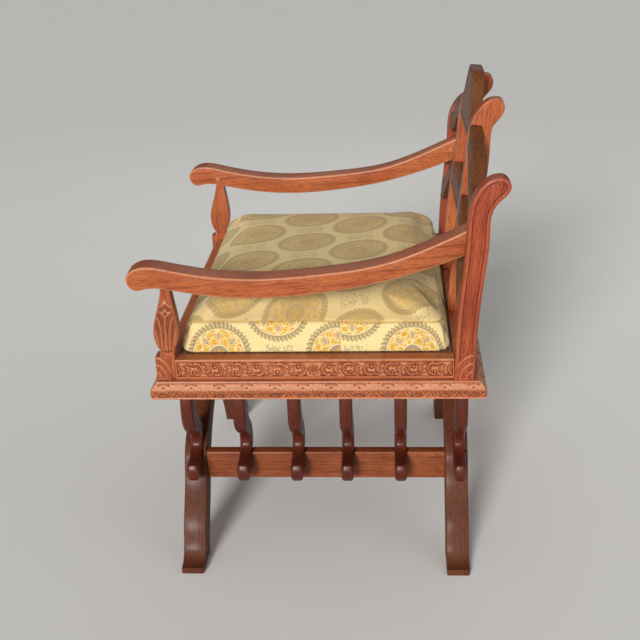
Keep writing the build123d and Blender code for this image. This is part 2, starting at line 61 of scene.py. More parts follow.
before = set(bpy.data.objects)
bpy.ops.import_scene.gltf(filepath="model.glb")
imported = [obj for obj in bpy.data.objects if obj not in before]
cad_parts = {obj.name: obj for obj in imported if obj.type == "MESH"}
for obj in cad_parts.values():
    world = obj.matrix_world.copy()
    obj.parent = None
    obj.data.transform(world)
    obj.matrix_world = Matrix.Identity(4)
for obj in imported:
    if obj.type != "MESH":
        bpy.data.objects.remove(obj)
CAD_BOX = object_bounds()

MM = 0.001
CHAIR = "frame"
PAD = "cushion"
CARVING_PITCH = 0.8 * MM  # from one row of points to the next on the mouldings
WELD = 0.001 * MM


def linear(code):
    """An sRGB hex colour as the linear red, green, blue and alpha that shaders take."""
    parts = [int(code[i : i + 2], 16) / 255 for i in (1, 3, 5)]
    return tuple(c / 12.92 if c <= 0.04045 else ((c + 0.055) / 1.055) ** 2.4 for c in parts) + (1.0,)


# ---------------------------------------------------------------- sizes and colours a user would change
def colour(name, description, code):
    return FloatVectorProperty(
        name=name, description=description, default=linear(code), size=4, min=0, max=1, subtype="COLOR"
    )


def number(name, description, default, **more):
    return FloatProperty(name=name, description=description, default=default, min=0, **more)


def length(name, description, default):
    return number(name, description, default, unit="LENGTH")


class ChairWood(bpy.types.PropertyGroup):
    pale: colour("Pale grain", "Light streaks of the polished wood", "#BE7041")
    middle: colour("Middle grain", "Main colour of the polished wood", "#AE582E")
    dark: colour("Dark grain", "Dark streaks of the polished wood", "#6E3119")
    # the pale colour below serves both worn edges and ridges and highlights painted on rounded edges and
    # glaring faces
    rubbed_and_highlight: colour("Rubbed edges", "Edges and ridges where the stain has worn", "#DFA27C")
    # the colour below is painted into the carving's grooves and along the outlines of its shapes
    groove_dark: colour("Grime", "Old polish and dust in the carving", "#3A1C11")
    ease: length("Eased edge", "Round on the edges of the boards", 2.6 * MM)
    arm_ease: length("Arm edge", "Round on the edges of the arms", 3.4 * MM)
    rib_ease: length("Rib edge", "Round on the edges of the ribs", 6.0 * MM)


class ChairCarving(bpy.types.PropertyGroup):
    depth: length("Depth", "Depth of the carved ground", 2.4 * MM)
    scroll: length("Scroll", "Length of one scroll on the rails", 35 * MM)
    leaf: length("Leaf pair", "Length of one pair of leaves on the plinth", 47 * MM)
    rosette: length("Rosette", "Radius of the rosette in the middle of each rail", 10 * MM)


class ChairCushion(bpy.types.PropertyGroup):
    pressure: number("Pressure", "Air pressure that fills the cover", 4.0)
    frames: IntProperty(name="Frames", description="Steps of the cloth simulation", default=20, min=1)
    voxel: length("Mesh size", "Size of the cover's mesh", 6 * MM)
    reach: length("Reach", "Furthest that the filling may push the cover", 10 * MM)
    ground: colour("Ground", "Ground of the cloth", "#F3DC9C")
    gold: colour("Gold", "Golden yarn of the roundels", "#DDA92E")
    grey: colour("Grey", "Grey-olive yarn of the roundels", "#9E8C66")
    roundel: length("Roundel", "Radius of one roundel", 56 * MM)
    column: length("Columns", "From one column of roundels to the next", 101 * MM)
    row: length("Rows", "From one roundel to the next in its column", 154 * MM)


class ChairStage(bpy.types.PropertyGroup):
    floor: colour("Floor", "Colour of the plain floor", "#EAE9E6")
    key: number("Key light", "Strength of the wide main light", 3.1)
    spread: number("Key spread", "Width of the main light", 0.26, subtype="ANGLE")
    fill: number("Fill light", "Power of the other lamps", 5, unit="POWER")
    world: number("World", "Strength of the light from all round", 0.26)


# ---------------------------------------------------------------- nodes
# Words for the nodes used often: type, settings, sockets in order and the output that is taken.
KINDS = {
    "blend": ("ShaderNodeMix", {"data_type": "RGBA"}, (0, 6, 7), 2),
    "pick": ("ShaderNodeMix", {"data_type": "VECTOR"}, (0, 4, 5), 1),
    "mix": ("ShaderNodeMix", {}, (0, 2, 3), 0),
    "step": ("ShaderNodeMapRange", {"interpolation_type": "SMOOTHSTEP"}, (0, 1, 2), 0),
    "noise": ("ShaderNodeTexNoise", {}, ("Vector", "Scale", "Detail", "Roughness", "Distortion"), "Fac"),
    "cells": ("ShaderNodeTexVoronoi", {}, ("Vector", "Scale"), "Distance"),
    "bump": ("ShaderNodeBump", {}, ("Strength", "Distance", "Height"), 0),
    "vector": ("ShaderNodeVectorMath", {}, (0, 1, 2), 0),
    "clamp": ("ShaderNodeClamp", {}, ("Value",), 0),
    "place": ("ShaderNodeTexCoord", {}, (), "Object"),
    "attribute": ("ShaderNodeAttribute", {}, (), "Fac"),
}


def fill(tree, node, inputs):
    """Sets a node's sockets, each to a value or by a link from an output."""
    for socket, value in inputs.items():
        if isinstance(value, bpy.types.NodeSocket):
            tree.links.new(value, node.inputs[socket])
        else:
            node.inputs[socket].default_value = value


def add(tree, kind, *values, inputs=None, out=None, **settings):
    """Adds one node with its settings and links.

    kind is a type of node, and the node comes back, or else a word of KINDS or the operation of a Math
    node, and one of its outputs comes back.
    """
    typed = "Node" in kind
    unlisted = (kind, {}, (), None) if typed else ("ShaderNodeMath", {"operation": kind}, (0, 1, 2), 0)
    node_type, fixed, sockets, usual = KINDS.get(kind, unlisted)
    made = tree.nodes.new(node_type)
    for name, value in (fixed | settings).items():
        setattr(made, name, value)
    fill(tree, made, dict(zip(sockets, values)) | (inputs or {}))
    return made if typed else made.outputs[usual if out is None else out]


def new_material(name):
    """A material, the adder of its nodes and the setter of its shader's sockets."""
    material = bpy.data.materials.new(name)
    material.use_nodes = True
    tree = material.node_tree
    tree.nodes.clear()
    shader = add(tree, "ShaderNodeBsdfPrincipled")
    add(tree, "ShaderNodeOutputMaterial", inputs={"Surface": shader.outputs[0]})
    return material, partial(add, tree), partial(fill, tree, shader)


# ---------------------------------------------------------------- materials
GRAIN_LENGTH = 150 * MM
GRAIN_WIDTH = 3.6 * MM
PORE_LENGTH = 13 * MM
PORE_WIDTH = 1.5 * MM  # real pores are 0.2 mm wide; drawn wider so that they show


def polished_wood(name, tone=1.0, redness=0.0, dull=0.0):
    """Stained hardwood under thin shellac: streaky red-brown, softly glossy, pale where hands rubbed it and
    where a highlight is painted on rounded edges and glaring faces, painted darker in the carving's grooves
    and along its outlines. Reads the piece's own grain attribute and the attribute of its wear and painted
    highlights."""
    look = bpy.context.scene.chair_wood
    material, put, finish = new_material(name)
    grain = put("attribute", out="Vector", attribute_name="grain")
    wear = put("attribute", attribute_name="wear")

    def streaks(along, across, detail, rough):
        scaled = put("vector", grain, (1 / along, 1 / across, 1 / across), operation="MULTIPLY")
        return put("noise", scaled, 1.0, detail, rough, 0.35)

    def toned(values):
        red, green, blue = (c * tone for c in values[:3])
        return (red * (1 + 0.15 * redness), green * (1 - 0.4 * redness), blue * (1 - 0.3 * redness), 1.0)

    figure = streaks(GRAIN_LENGTH, GRAIN_WIDTH, 4.0, 0.6)
    pores = streaks(PORE_LENGTH, PORE_WIDTH, 2.0, 0.5)
    clouds = put("noise", grain, 9.0, 2.0)
    base = toned(look.middle)
    for pattern, low, high, most, stain in (
        (figure, 0.52, 0.32, 0.65, look.dark),
        (figure, 0.5, 0.7, 0.5, look.pale),
        (clouds, 0.42, 0.7, 0.4, look.pale),
        (clouds, 0.5, 0.3, 0.3, look.dark),
        (pores, 0.53, 0.64, 0.65, look.dark),
    ):
        base = put("blend", put("MULTIPLY", put("step", pattern, low, high), most), base, toned(stain))
    scuffs = put("noise", grain, 160.0, 3.0)
    # paler where worn and where a highlight is painted on rounded edges and glaring faces; painted darker
    # in the carving's grooves and along its outlines
    rubbed_and_highlight = put("clamp", put("MULTIPLY", wear, put("MULTIPLY_ADD", scuffs, 1.2, 0.1)))
    darkened = put("clamp", put("MULTIPLY", wear, -1.0))
    base = put("blend", rubbed_and_highlight, base, toned(look.rubbed_and_highlight))
    base = put("blend", darkened, base, toned(look.groove_dark))
    rough = put("ADD", put("MULTIPLY_ADD", scuffs, 0.2, 0.3 + dull), put("MULTIPLY", darkened, 0.25))
    relief = put("MULTIPLY_ADD", pores, -0.7, figure)
    finish({"Base Color": base, "Roughness": rough, "Normal": put("bump", 0.22, 0.2 * MM, relief)})
    finish({"IOR": 1.47, "Specular IOR Level": 0.3, "Coat Weight": 0.08, "Coat Roughness": 0.22})
    return material


def sawn_wood(name, code, dark_code):
    """Bare sawn board inside the seat: pale, dull and fuzzy along the saw's path."""
    material, put, finish = new_material(name)
    scaled = put("vector", put("place"), (1 / (90 * MM), 1 / (5 * MM), 1 / (5 * MM)), operation="MULTIPLY")
    figure = put("noise", scaled, 1.0, 5.0)
    base = put("blend", put("step", figure, 0.35, 0.7), linear(dark_code), linear(code))
    finish({"Base Color": base, "Roughness": 0.85, "Normal": put("bump", 0.4, 0.4 * MM, figure)})
    return material


def drawn_steel(name):
    """Plain drawn steel of the hidden screws: grey, with fine rings from the wire's die."""
    material, put, finish = new_material(name)
    rings = put("noise", put("place"), 1 / (1.2 * MM), 2.0)
    finish({"Base Color": put("blend", rings, linear("#77736D"), linear("#A9A6A0")), "Metallic": 1.0})
    finish({"Roughness": put("MULTIPLY_ADD", rings, 0.2, 0.3)})
    return material


CREAM = "#F6E6B0"
DOVE = "#A38C78"


def figured_cloth(name):
    """Woven jacquard: staggered roundels with a toothed rim and lobed middle, and a small filler between.
    Matt, with a faint sheen; the thread is drawn at 1.1 mm, twice its real spacing, so that it shows."""
    look = bpy.context.scene.chair_cushion
    material, put, finish = new_material(name)
    top = put("attribute", out="Vector", attribute_name="top_cloth")
    side = put("attribute", out="Vector", attribute_name="side_cloth")
    above = put("attribute", attribute_name="above_seam")
    lying = put("GREATER_THAN", above, 0.0)
    chosen = put("pick", lying, side, top)
    column, row = look.column, look.row

    def repeat(place):
        return put("vector", place, (row / 2, column, 1), (-row / 2, -column, -1), operation="WRAP")

    def shifted(*shift):
        return repeat(put("vector", chosen, shift, operation="ADD"))

    def waves(count, phase=0.0):
        return put("COSINE", put("MULTIPLY_ADD", turn, float(count), phase))

    def inside(value, limit, soft=0.02):
        return put("step", value, limit + soft, limit - soft)

    def line_at(value, place, half, soft=0.012):
        return inside(put("ABSOLUTE", put("SUBTRACT", value, place)), half, soft)

    def both(first, second):
        return put("MULTIPLY", first, second)

    def worked(mask, strength, code):
        return put("blend", both(mask, strength), cloth, linear(code))

    first = repeat(chosen)
    second = shifted(row / 2, column, 0)
    first_far, second_far = (put("vector", spot, out=1, operation="LENGTH") for spot in (first, second))
    local = put("pick", put("LESS_THAN", second_far, first_far), first, second)
    far = put("DIVIDE", put("MINIMUM", first_far, second_far), look.roundel)
    parts = put("ShaderNodeSeparateXYZ", inputs={0: local}).outputs
    turn = put("ARCTAN2", parts[1], parts[0])

    # a feathered rim with a lace of marks, a pale line, then the golden field
    teeth = put("MULTIPLY_ADD", waves(46), 0.028, 0.972)
    cloth = put("blend", inside(put("DIVIDE", far, teeth), 1.0, 0.03), look.ground[:], look.grey[:])
    lace = both(line_at(far, 0.9, 0.05), put("step", waves(46, 1.2), -0.2, 0.5))
    cloth = put("blend", both(lace, 0.5), cloth, look.ground[:])
    cloth = worked(inside(far, 0.81), 1.0, CREAM)
    field = inside(far, 0.78)
    cloth = put("blend", field, cloth, look.gold[:])
    # small marks of red-brown yarn, then arabesques of cream in two rings of lobes
    seeds = put("cells", chosen, 1 / (6.0 * MM))
    cloth = worked(both(field, put("step", seeds, 0.4, 0.22)), 0.7, "#B07A30")
    veins = put("cells", chosen, 1 / (11.0 * MM), feature="DISTANCE_TO_EDGE")
    cloth = worked(both(field, put("step", veins, 0.07, 0.03)), 0.7, "#F1DA96")
    petals = ((8, 0.64, 0.09, 0.0), (8, 0.46, 0.08, math.pi), (16, 0.72, 0.04, 0.6))
    for count, place, swing, phase in petals:
        ring = put("MULTIPLY_ADD", waves(count, phase), swing, place)
        cloth = worked(line_at(put("SUBTRACT", far, ring), 0.0, 0.014), 0.9, CREAM)
    # eight small lozenges: the angle folded into one eighth, as a point on that spoke
    eighth = math.pi / 4
    folded = put("WRAP", turn, eighth / 2, -eighth / 2)
    across = put("ABSOLUTE", both(far, put("SINE", folded)))
    out_on = put("SUBTRACT", both(far, put("COSINE", folded)), 0.57)
    lozenge = put("MULTIPLY_ADD", across, 1.7, put("ABSOLUTE", out_on))
    for value, limit, strength, code in (
        (lozenge, 0.15, 1.0, CREAM),
        (lozenge, 0.12, 1.0, DOVE),
        (lozenge, 0.05, 0.8, "#D9C7A2"),
        (far, 0.33, 1.0, CREAM),
        (far, 0.3, 1.0, DOVE),
    ):
        cloth = worked(inside(value, limit), strength, code)
    star = put("MULTIPLY_ADD", waves(8), 0.05, 0.17)
    cloth = put("blend", inside(put("SUBTRACT", far, star), 0.0), cloth, look.gold[:])

    # the filler stands where four roundels leave room
    blocks = []
    for spot in (shifted(row / 2, 0, 0), shifted(0, column, 0)):
        size = put("ShaderNodeSeparateXYZ", inputs={0: put("vector", spot, operation="ABSOLUTE")}).outputs
        blocks.append(both(inside(size[1], 25 * MM, 3 * MM), inside(size[0], 19 * MM, 3 * MM)))
    clear = put("step", far, 1.08, 1.14)
    speckle = put("cells", chosen, 1 / (3.6 * MM))
    sprays = both(both(put("MAXIMUM", *blocks), clear), put("step", speckle, 0.6, 0.36))
    cloth = worked(sprays, 0.75, "#98996E")

    # on top the cloth is painted darker and the roundels grey-brown: painted shade for the top panel, which
    # the light meets at a low angle, made uneven by a noise
    dimming_mottle = put("noise", chosen, 22.0, 3.0)
    top_painted_shade = put("MULTIPLY_ADD", put("step", dimming_mottle, 0.62, 0.42), 0.34, 0.3)
    cloth = worked(both(lying, inside(far, 1.0)), top_painted_shade, "#AC9656")
    cloth = worked(lying, 0.3, "#EBC27C")
    # the seam: a thin roll of golden thread with a shadow below it
    cloth = worked(line_at(above, 0.8 * MM, 1.1 * MM, 0.5 * MM), 0.55, "#C89A3E")
    cloth = worked(line_at(above, -0.9 * MM, 0.5 * MM, 0.5 * MM), 0.6, "#7A5A2A")

    # weave: fine ribs of weft, broken by warp, and a slow unevenness of the dye
    threads = put("noise", chosen, 1 / (1.6 * MM), 2.0)
    over = put("ShaderNodeSeparateXYZ", inputs={0: chosen}).outputs[0]
    weft = put("SINE", both(over, 2 * math.pi / (2.2 * MM)))
    cloth = worked(threads, 0.28, "#B79A5E")
    cloth = worked(put("ADD", weft, 1.0), 0.03, "#8F7B4B")
    height = put("MULTIPLY_ADD", weft, 0.35, threads)
    finish({"Base Color": cloth, "Normal": put("bump", 0.5, 0.3 * MM, height)})
    finish({"Roughness": 0.82, "Sheen Weight": 0.12, "Sheen Roughness": 0.5, "IOR": 1.45})
    return material


FINISHES = {
    "polished_mahogany": (polished_wood, {}),
    # the legs' wood is toned far darker: painted shade, for legs that stand low under the seat, out of the
    # light
    "polished_mahogany_legs": (polished_wood, {"tone": 0.27, "dull": 0.25}),
    "polished_mahogany_stretchers": (polished_wood, {"tone": 0.62}),
    # the ribs' wood is toned darker and redder: a deep red stain, darkened further as painted shade under
    # the seat rail
    "polished_mahogany_ribs": (polished_wood, {"tone": 0.21, "redness": 0.75}),
    "polished_mahogany_back": (polished_wood, {"tone": 0.42, "redness": -0.6, "dull": 0.1}),
    "polished_mahogany_posts": (polished_wood, {"tone": 0.76, "redness": 0.55, "dull": 0.05}),
    "sawn_beech": (sawn_wood, {"code": "#7A5236", "dark_code": "#55361F"}),
    "drawn_steel": (drawn_steel, {}),
    "figured_jacquard": (figured_cloth, {}),
}


def material_named(name):
    """Each finish is made once, when a piece first asks for it."""
    maker, options = FINISHES[name]
    return bpy.data.materials.get(name) or maker(name, **options)


# ---------------------------------------------------------------- building shells
def placed(name, data):
    """A new object in the scene."""
    made = bpy.data.objects.new(name, data)
    bpy.context.scene.collection.objects.link(made)
    return made


def triples(data, field):
    """A field of each point or attribute value, as rows of three numbers."""
    values = np.zeros(len(data) * 3)
    data.foreach_get(field, values)
    return values.reshape(-1, 3)


def store(mesh, name, values):
    """A new attribute of the points: a number or a vector each."""
    kind, field = ("FLOAT_VECTOR", "vector") if np.ndim(values) == 2 else ("FLOAT", "value")
    mesh.attributes.new(name, kind, "POINT").data.foreach_set(field, np.ravel(values))


def axes_for(along):
    """Three axes at right angles, the first along the grain."""
    along = Vector(along).normalized()
    side = along.orthogonal().normalized()
    return np.array([along, side, along.cross(side)])


def settle(mesh, sharp=math.radians(38)):
    """Points every face outwards and keeps the crisp edges crisp."""
    solid = bmesh.new()
    solid.from_mesh(mesh)
    bmesh.ops.recalc_face_normals(solid, faces=solid.faces)
    solid.to_mesh(mesh)
    solid.free()
    mesh.shade_smooth()
    mesh.set_sharp_from_angle(angle=sharp)


class Shell:
    """Points, faces, and values of wear and painted highlight, of a piece while it is built."""

    def __init__(self):
        self.points = []
        self.faces = []
        self.wear = []

    def ring(self, points, wear=0.0):
        start = len(self.points)
        self.points.extend(map(tuple, points))
        self.wear.extend(np.broadcast_to(wear, len(points)).tolist())
        return list(range(start, len(self.points)))

    def loft(self, rings, closed=True):
        """Joins each ring to the next, and closes both ends."""
        for lower, upper in zip(rings, rings[1:]):
            for i in range(len(lower)):
                j = (i + 1) % len(lower)
                self.faces.append((lower[i], lower[j], upper[j], upper[i]))
        if closed:
            self.faces += [tuple(reversed(rings[0])), tuple(rings[-1])]

    def mesh(self, name, along=None):
        """The finished mesh, with its wear and painted highlights and a grain along its length unlike its
        neighbours'.
        """
        made = bpy.data.meshes.new(name)
        made.from_pydata(self.points, [], self.faces)
        settle(made)
        if along:
            points = triples(made.vertices, "co")
            shift = [sum(map(ord, made.name)) % 97 * 0.37, len(made.name) * 0.41, points[:, 2].mean() * 3]
            store(made, "grain", points @ axes_for(along).T + shift)
            store(made, "wear", self.wear)
        return made


def welded(node):
    """A CAD node's triangles with their corners merged, to be freed after use."""
    solid = bmesh.new()
    solid.from_mesh(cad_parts[node].data)
    bmesh.ops.remove_doubles(solid, verts=solid.verts, dist=WELD)
    return solid


def flat_loop(node, toward):
    """The outer edge, and the normal, of the node's largest flat face that looks toward a direction."""
    solid = welded(node)
    facing = [face for face in solid.faces if face.normal.dot(Vector(toward)) > 0.97]
    planes = []
    for face in sorted(facing, key=lambda f: -f.calc_area()):
        for first, group in planes:
            apart = abs(first.normal.dot(face.verts[0].co - first.verts[0].co))
            if apart < 0.05 * MM and first.normal.dot(face.normal) > 0.9999:
                group.append(face)
                break
        else:
            planes.append((face, [face]))
    faces = max((group for _, group in planes), key=lambda group: sum(f.calc_area() for f in group))
    normal = sum((f.normal * f.calc_area() for f in faces), Vector()).normalized()
    inside = set(faces)
    neighbours = {}
    for edge in solid.edges:
        if sum(f in inside for f in edge.link_faces) == 1:
            for a, b in (edge.verts, reversed(edge.verts)):
                neighbours.setdefault(a, []).append(b)
    loops = []
    while neighbours:
        loop = [next(iter(neighbours))]
        while True:
            onward = [v for v in neighbours.pop(loop[-1]) if v in neighbours]
            if not onward:
                break
            loop.append(onward[0])
        loops.append([v.co.copy() for v in loop])
    solid.free()
    return max(loops, key=lambda loop: sum((a - b).length for a, b in zip(loop, loop[1:]))), normal


class Board:
    """The flat face of a board: its own axes, its outline and the levels of its two faces."""

    def __init__(self, node, toward, spacing=3.0 * MM, flipped=False):
        loop, normal = flat_loop(node, toward)
        if flipped:
            normal = -normal
        self.w = normal
        self.v = (Vector((0, 0, 1)) - normal * normal.z).normalized()
        self.u = self.v.cross(normal)
        flat = np.array([(p.dot(self.u), p.dot(self.v)) for p in loop])
        x, y = flat.T
        if np.sum(x * np.roll(y, -1) - np.roll(x, -1) * y) < 0:
            flat = flat[::-1]
        self.outline = resample(flat, spacing)
        levels = [v.co.dot(normal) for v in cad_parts[node].data.vertices]
        self.near, self.far = max(levels), min(levels)

    def place(self, flat, level):
        axes = np.array([self.u, self.v, self.w])
        return np.column_stack([flat, np.broadcast_to(level, len(flat))]) @ axes


def resample(loop, spacing, corner=math.radians(28)):
    """Even points along a closed loop that keep its corners, smoothed between them."""
    loop = loop[np.linalg.norm(loop - np.roll(loop, 1, 0), axis=1) > 0.05 * MM]
    before = loop - np.roll(loop, 1, 0)
    after = np.roll(loop, -1, 0) - loop
    angle = np.arctan2(after[:, 1], after[:, 0]) - np.arctan2(before[:, 1], before[:, 0])
    corners = np.flatnonzero(np.abs((angle + math.pi) % (2 * math.pi) - math.pi) > corner)
    if not len(corners):
        corners = np.array([0])
    loop = np.roll(loop, -corners[0], 0)
    corners = [*(corners - corners[0]), len(loop)]
    closed = np.vstack([loop, loop[:1]])
    made = []
    for start, end in zip(corners, corners[1:]):
        part = closed[start : end + 1]
        run = run_along(part)
        at = np.linspace(0, run[-1], max(2, round(run[-1] / spacing) + 1))
        even = np.column_stack([np.interp(at, run, part[:, axis]) for axis in (0, 1)])
        for _ in range(3):
            even[1:-1] = 0.25 * even[:-2] + 0.5 * even[1:-1] + 0.25 * even[2:]
        made.append(even[:-1])
    return np.vstack(made)


def run_along(path):
    """How far along a path each of its points lies."""
    return np.concatenate([[0], np.cumsum(np.linalg.norm(np.diff(path, axis=0), axis=1))])


def inset(loop, distance):
    """A closed loop moved inwards, with mitred corners."""
    after = np.roll(loop, -1, 0) - loop
    after /= np.linalg.norm(after, axis=1)[:, None]
    inward = np.column_stack([-after[:, 1], after[:, 0]])
    previous = np.roll(inward, 1, 0)
    scale = np.maximum(1 + np.sum(inward * previous, axis=1), 0.35)
    return loop + distance * (inward + previous) / scale[:, None]


def nearest_on(loop, points, batch=8000):
    """How far each point lies from a closed loop, and how far along the loop its nearest spot is."""
    run = np.roll(loop, -1, 0) - loop
    sizes = np.linalg.norm(run, axis=1)
    starts = np.concatenate([[0], np.cumsum(sizes)])[:-1]
    found = []
    for begin in range(0, len(points), batch):
        part = points[begin : begin + batch, None]
        share = np.clip(np.einsum("pij,ij->pi", part - loop[None], run) / np.sum(run * run, axis=1), 0, 1)
        gap = np.linalg.norm(part - (loop[None] + share[..., None] * run[None]), axis=2)
        best = gap.argmin(axis=1)
        rows = np.arange(len(part))
        found.append(np.array([gap[rows, best], starts[best] + share[rows, best] * sizes[best]]))
    return np.hstack(found)


def contains(loop, points):
    x, y = points[:, 0][:, None], points[:, 1][:, None]
    ax, ay = loop.T
    bx, by = np.roll(ax, -1), np.roll(ay, -1)
    straddles = (ay > y) != (by > y)
    crossing = ax + (y - ay) / np.where(by == ay, 1e-12, by - ay) * (bx - ax)
    return np.sum(straddles & (x < crossing), axis=1) % 2 == 1


def cap(shell, board, ring, loop, level, facing, lattice=None, carving=None):
    """Closes a ring with a face, which may be carved."""
    spots = [Vector(p) for p in loop]
    if lattice:
        low, high = loop.min(0), loop.max(0)
        rows = enumerate(np.arange(low[1], high[1], lattice * 0.87))
        columns = np.arange(low[0], high[0], lattice)
        grid = np.array([(x + (i % 2) * lattice / 2, y) for i, y in rows for x in columns])
        grid = grid[contains(loop, grid)]
        spots += [Vector(p) for p in grid[nearest_on(loop, grid)[0] > 0.55 * lattice]]
    found, _, faces, origins, _, _ = delaunay_2d_cdt(spots, [], [list(range(len(loop)))], 1, 1e-9)
    flat = np.array([tuple(p) for p in found])
    index = {i: ring[min(origin)] for i, origin in enumerate(origins) if any(o < len(loop) for o in origin)}
    inner = [i for i in range(len(origins)) if i not in index]
    if inner:
        rise, wear = np.zeros(len(inner)), 0.0
        if carving:
            rise, wear = carving(flat[inner], nearest_on(loop, flat[inner])[0])
        made = shell.ring(board.place(flat[inner], level + facing * rise), wear)
        index.update(zip(inner, made))
    for face in faces:
        corners = [index[i] for i in face]
        shell.faces.append(tuple(corners if facing > 0 else reversed(corners)))


def slab(board, ease, near=None, far=None, lattice=None, carving=None, rounds=4, edge_wear_and_highlight=0.3, shell=None):
    """A board sawn to its outline, both faces eased, and its near face carved."""
    shell = shell or Shell()
    near = board.near if near is None else near
    far = board.far if far is None else far
    angles = [math.pi / 2 * i / rounds for i in range(rounds + 1)]
    lower = [(ease * (1 - math.cos(a)), far + ease * (1 - math.sin(a)), a) for a in reversed(angles)]
    upper = [(ease * (1 - math.cos(a)), near - ease * (1 - math.sin(a)), a) for a in angles]
    rings = []
    for depth, level, angle in lower + upper:
        # the rounded edge is painted paler: partly wear, partly a painted highlight along the edge
        wear = edge_wear_and_highlight * math.sin(2 * angle) ** 2
        rings.append(shell.ring(board.place(inset(board.outline, depth), level), wear))
    shell.loft(rings, closed=False)
    face = inset(board.outline, ease)
    cap(shell, board, rings[0], face, far, -1)
    cap(shell, board, rings[-1], face, near, 1, lattice, carving)
    return shell


def show(mesh, material, nodes):
    """Puts a finished mesh in the scene, in the place of the CAD nodes that it stands for."""
    piece = placed(mesh.name, mesh)
    mesh.materials.clear()
    mesh.materials.append(material_named(material))
    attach(piece, CHAIR)
    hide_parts(*nodes)
    return piece


def make_piece(shell, name, material, nodes, along):
    return show(shell.mesh(name, along), material, nodes)


def make_pair(shell, name, material, node, along):
    """A piece for the left side and its mirror image for the right."""
    left = make_piece(shell, f"{name}_left", material, [f"{node}_left"], along)
    mesh = left.data.copy()
    mesh.name = f"{name}_right"
    mesh.transform(Matrix.Scale(-1, 4, (1, 0, 0)))
    mesh.flip_normals()
    grain = mesh.attributes["grain"].data
    grain.foreach_set("vector", (triples(grain, "vector") + 1.7).ravel())
    show(mesh, material, [f"{node}_right"])


def evaluated_mesh(piece, name):
    """The mesh of a piece with its modifiers, as a plain mesh."""
    graph = bpy.context.evaluated_depsgraph_get()
    mesh = bpy.data.meshes.new_from_object(piece.evaluated_get(graph), depsgraph=graph)
    mesh.name = name
    return mesh


def applied(piece):
    """Makes a piece's modifiers part of its mesh."""
    mesh = evaluated_mesh(piece, piece.name)
    piece.modifiers.clear()
    piece.data = mesh
    return mesh


# ---------------------------------------------------------------- carving
def bell(far, width):
    """1 on a line, falling off over a width."""
    return np.exp(-((far / width) ** 2))


def fading(edge, width=1.0 * MM):
    """0 at an edge, 1 from a width inside it on, so that carving runs out before the edge."""
    return np.clip(edge / width, 0, 1)


def dome(far, radius):
    """The rounded height of a ridge: 1 in the middle, 0 at its radius."""
    return np.sqrt(np.clip(1 - (far / radius) ** 2, 0, 1))


def stroke(x, y, path, radii):
    """How far inside a ridge along a path with its own radii: 1 on its crest, 0 at its edge."""
    path = np.asarray(path)
    far = np.hypot(x[:, None] - path[:, 0], y[:, None] - path[:, 1])
    return (1 - far / np.broadcast_to(radii, len(path))).max(axis=1)


def curl(centre, start_radius, end_radius, start, sweep, count=40):
    """Points of a spiral that closes in on its centre."""
    share = np.linspace(0, 1, count)
    radius = start_radius + (end_radius - start_radius) * share**0.8
    angle = math.radians(start) + math.radians(sweep) * share
    return np.column_stack([centre[0] + radius * np.cos(angle), centre[1] + radius * np.sin(angle)])


def leaf(x, y, base, tip, width, bend=0.0, lobes=3, vein=0.05):
    """How far inside a carved leaf: 1 on its blade, 0 at its lobed edge and along its midrib."""
    run = np.array(tip) - base
    size = np.hypot(*run)
    forward = run / size
    along = ((x - base[0]) * forward[0] + (y - base[1]) * forward[1]) / size
    inside = np.clip(along, 0, 1)
    across = -(x - base[0]) * forward[1] + (y - base[1]) * forward[0] - bend * np.sin(math.pi * inside)
    half = width / 2 * np.sin(math.pi * inside**0.75) * (1 + 0.12 * np.cos(2 * math.pi * lobes * inside))
    share = 1 - np.abs(across) / (half + 0.02 * width)
    midrib = 1 - 0.8 * bell(across, vein)
    return np.where((along < 0) | (along > 1), -1.0, np.where(share > 0, share * midrib, share))


def leaves(x, y, *shapes):
    """How far inside each of some leaves, given as (base, tip, width, bend, lobes, vein)."""
    return [leaf(x, y, *shape) for shape in shapes]


def relief(inside):
    """The rounded height of carving from how far inside it a point lies."""
    return np.sqrt(np.clip(1 - (1 - np.clip(inside, 0, 1)) ** 2, 0, 1))


def rosette(x, y, radius):
    """How far inside a flower: a ring of petals, a ring and a button."""
    far = np.hypot(x, y) / radius
    petals = 1 - np.abs(far - 0.76) / (0.12 + 0.13 * np.abs(np.cos(4 * np.arctan2(y, x))))
    return np.maximum.reduce([petals, 1 - np.abs(far - 0.4) / 0.13, 1 - far / 0.2])


def rinceau(x, y, unit, half):
    """How far inside a running scroll, turned over in each unit and mirrored about the rail's middle."""
    middle = bpy.context.scene.chair_carving.rosette
    run = np.abs(x) - middle * 1.05
    unit_number = np.floor(run / unit)
    u = (run - unit_number * unit) / unit * 35
    v = np.where(unit_number % 2 == 0, y, -y) / half * 12.5  # drawn on 35 by 25
    crescent = curl((12.5, -0.2), 10.2, 9.4, 68, 222)
    inner = curl((13.0, 0.0), 4.6, 5.2, 110, 190)
    tail = np.column_stack([np.linspace(19, 31, 24), -6.8 - 2.4 * np.sin(np.linspace(0, math.pi, 24))])
    comma = np.column_stack([np.linspace(20, 28, 16), 8.6 - 2.6 * np.linspace(0, 1, 16) ** 2])
    shapes = [
        stroke(u, v, crescent, np.linspace(1.8, 3.0, len(crescent))),
        stroke(u, v, inner, 1.1),
        1 - np.hypot(u - 15.5, v - 4.4) / 3.4,
        stroke(u, v, tail, np.linspace(2.3, 1.0, len(tail))),
        stroke(u, v, comma, np.linspace(2.4, 1.0, len(comma))),
        *leaves(
            u,
            v,
            ((21.5, -3.4), (34.5, -6.5), 5.6, 0.8, 2, 0.6),
            ((20.5, -1.0), (35.0, 1.2), 5.8, 0.6, 2, 0.6),
            ((21.0, 2.0), (33.5, 8.0), 5.2, -0.6, 1, 0.6),
            ((29.0, 7.0), (36.0, 11.6), 4.0, 0.0, 1, 0.6),
            ((-1.0, -8.5), (5.0, -11.4), 3.6, 0.0, 1, 0.6),
        ),
    ]
    return np.where(run < 0, rosette(x, y, middle), np.maximum.reduce(shapes))


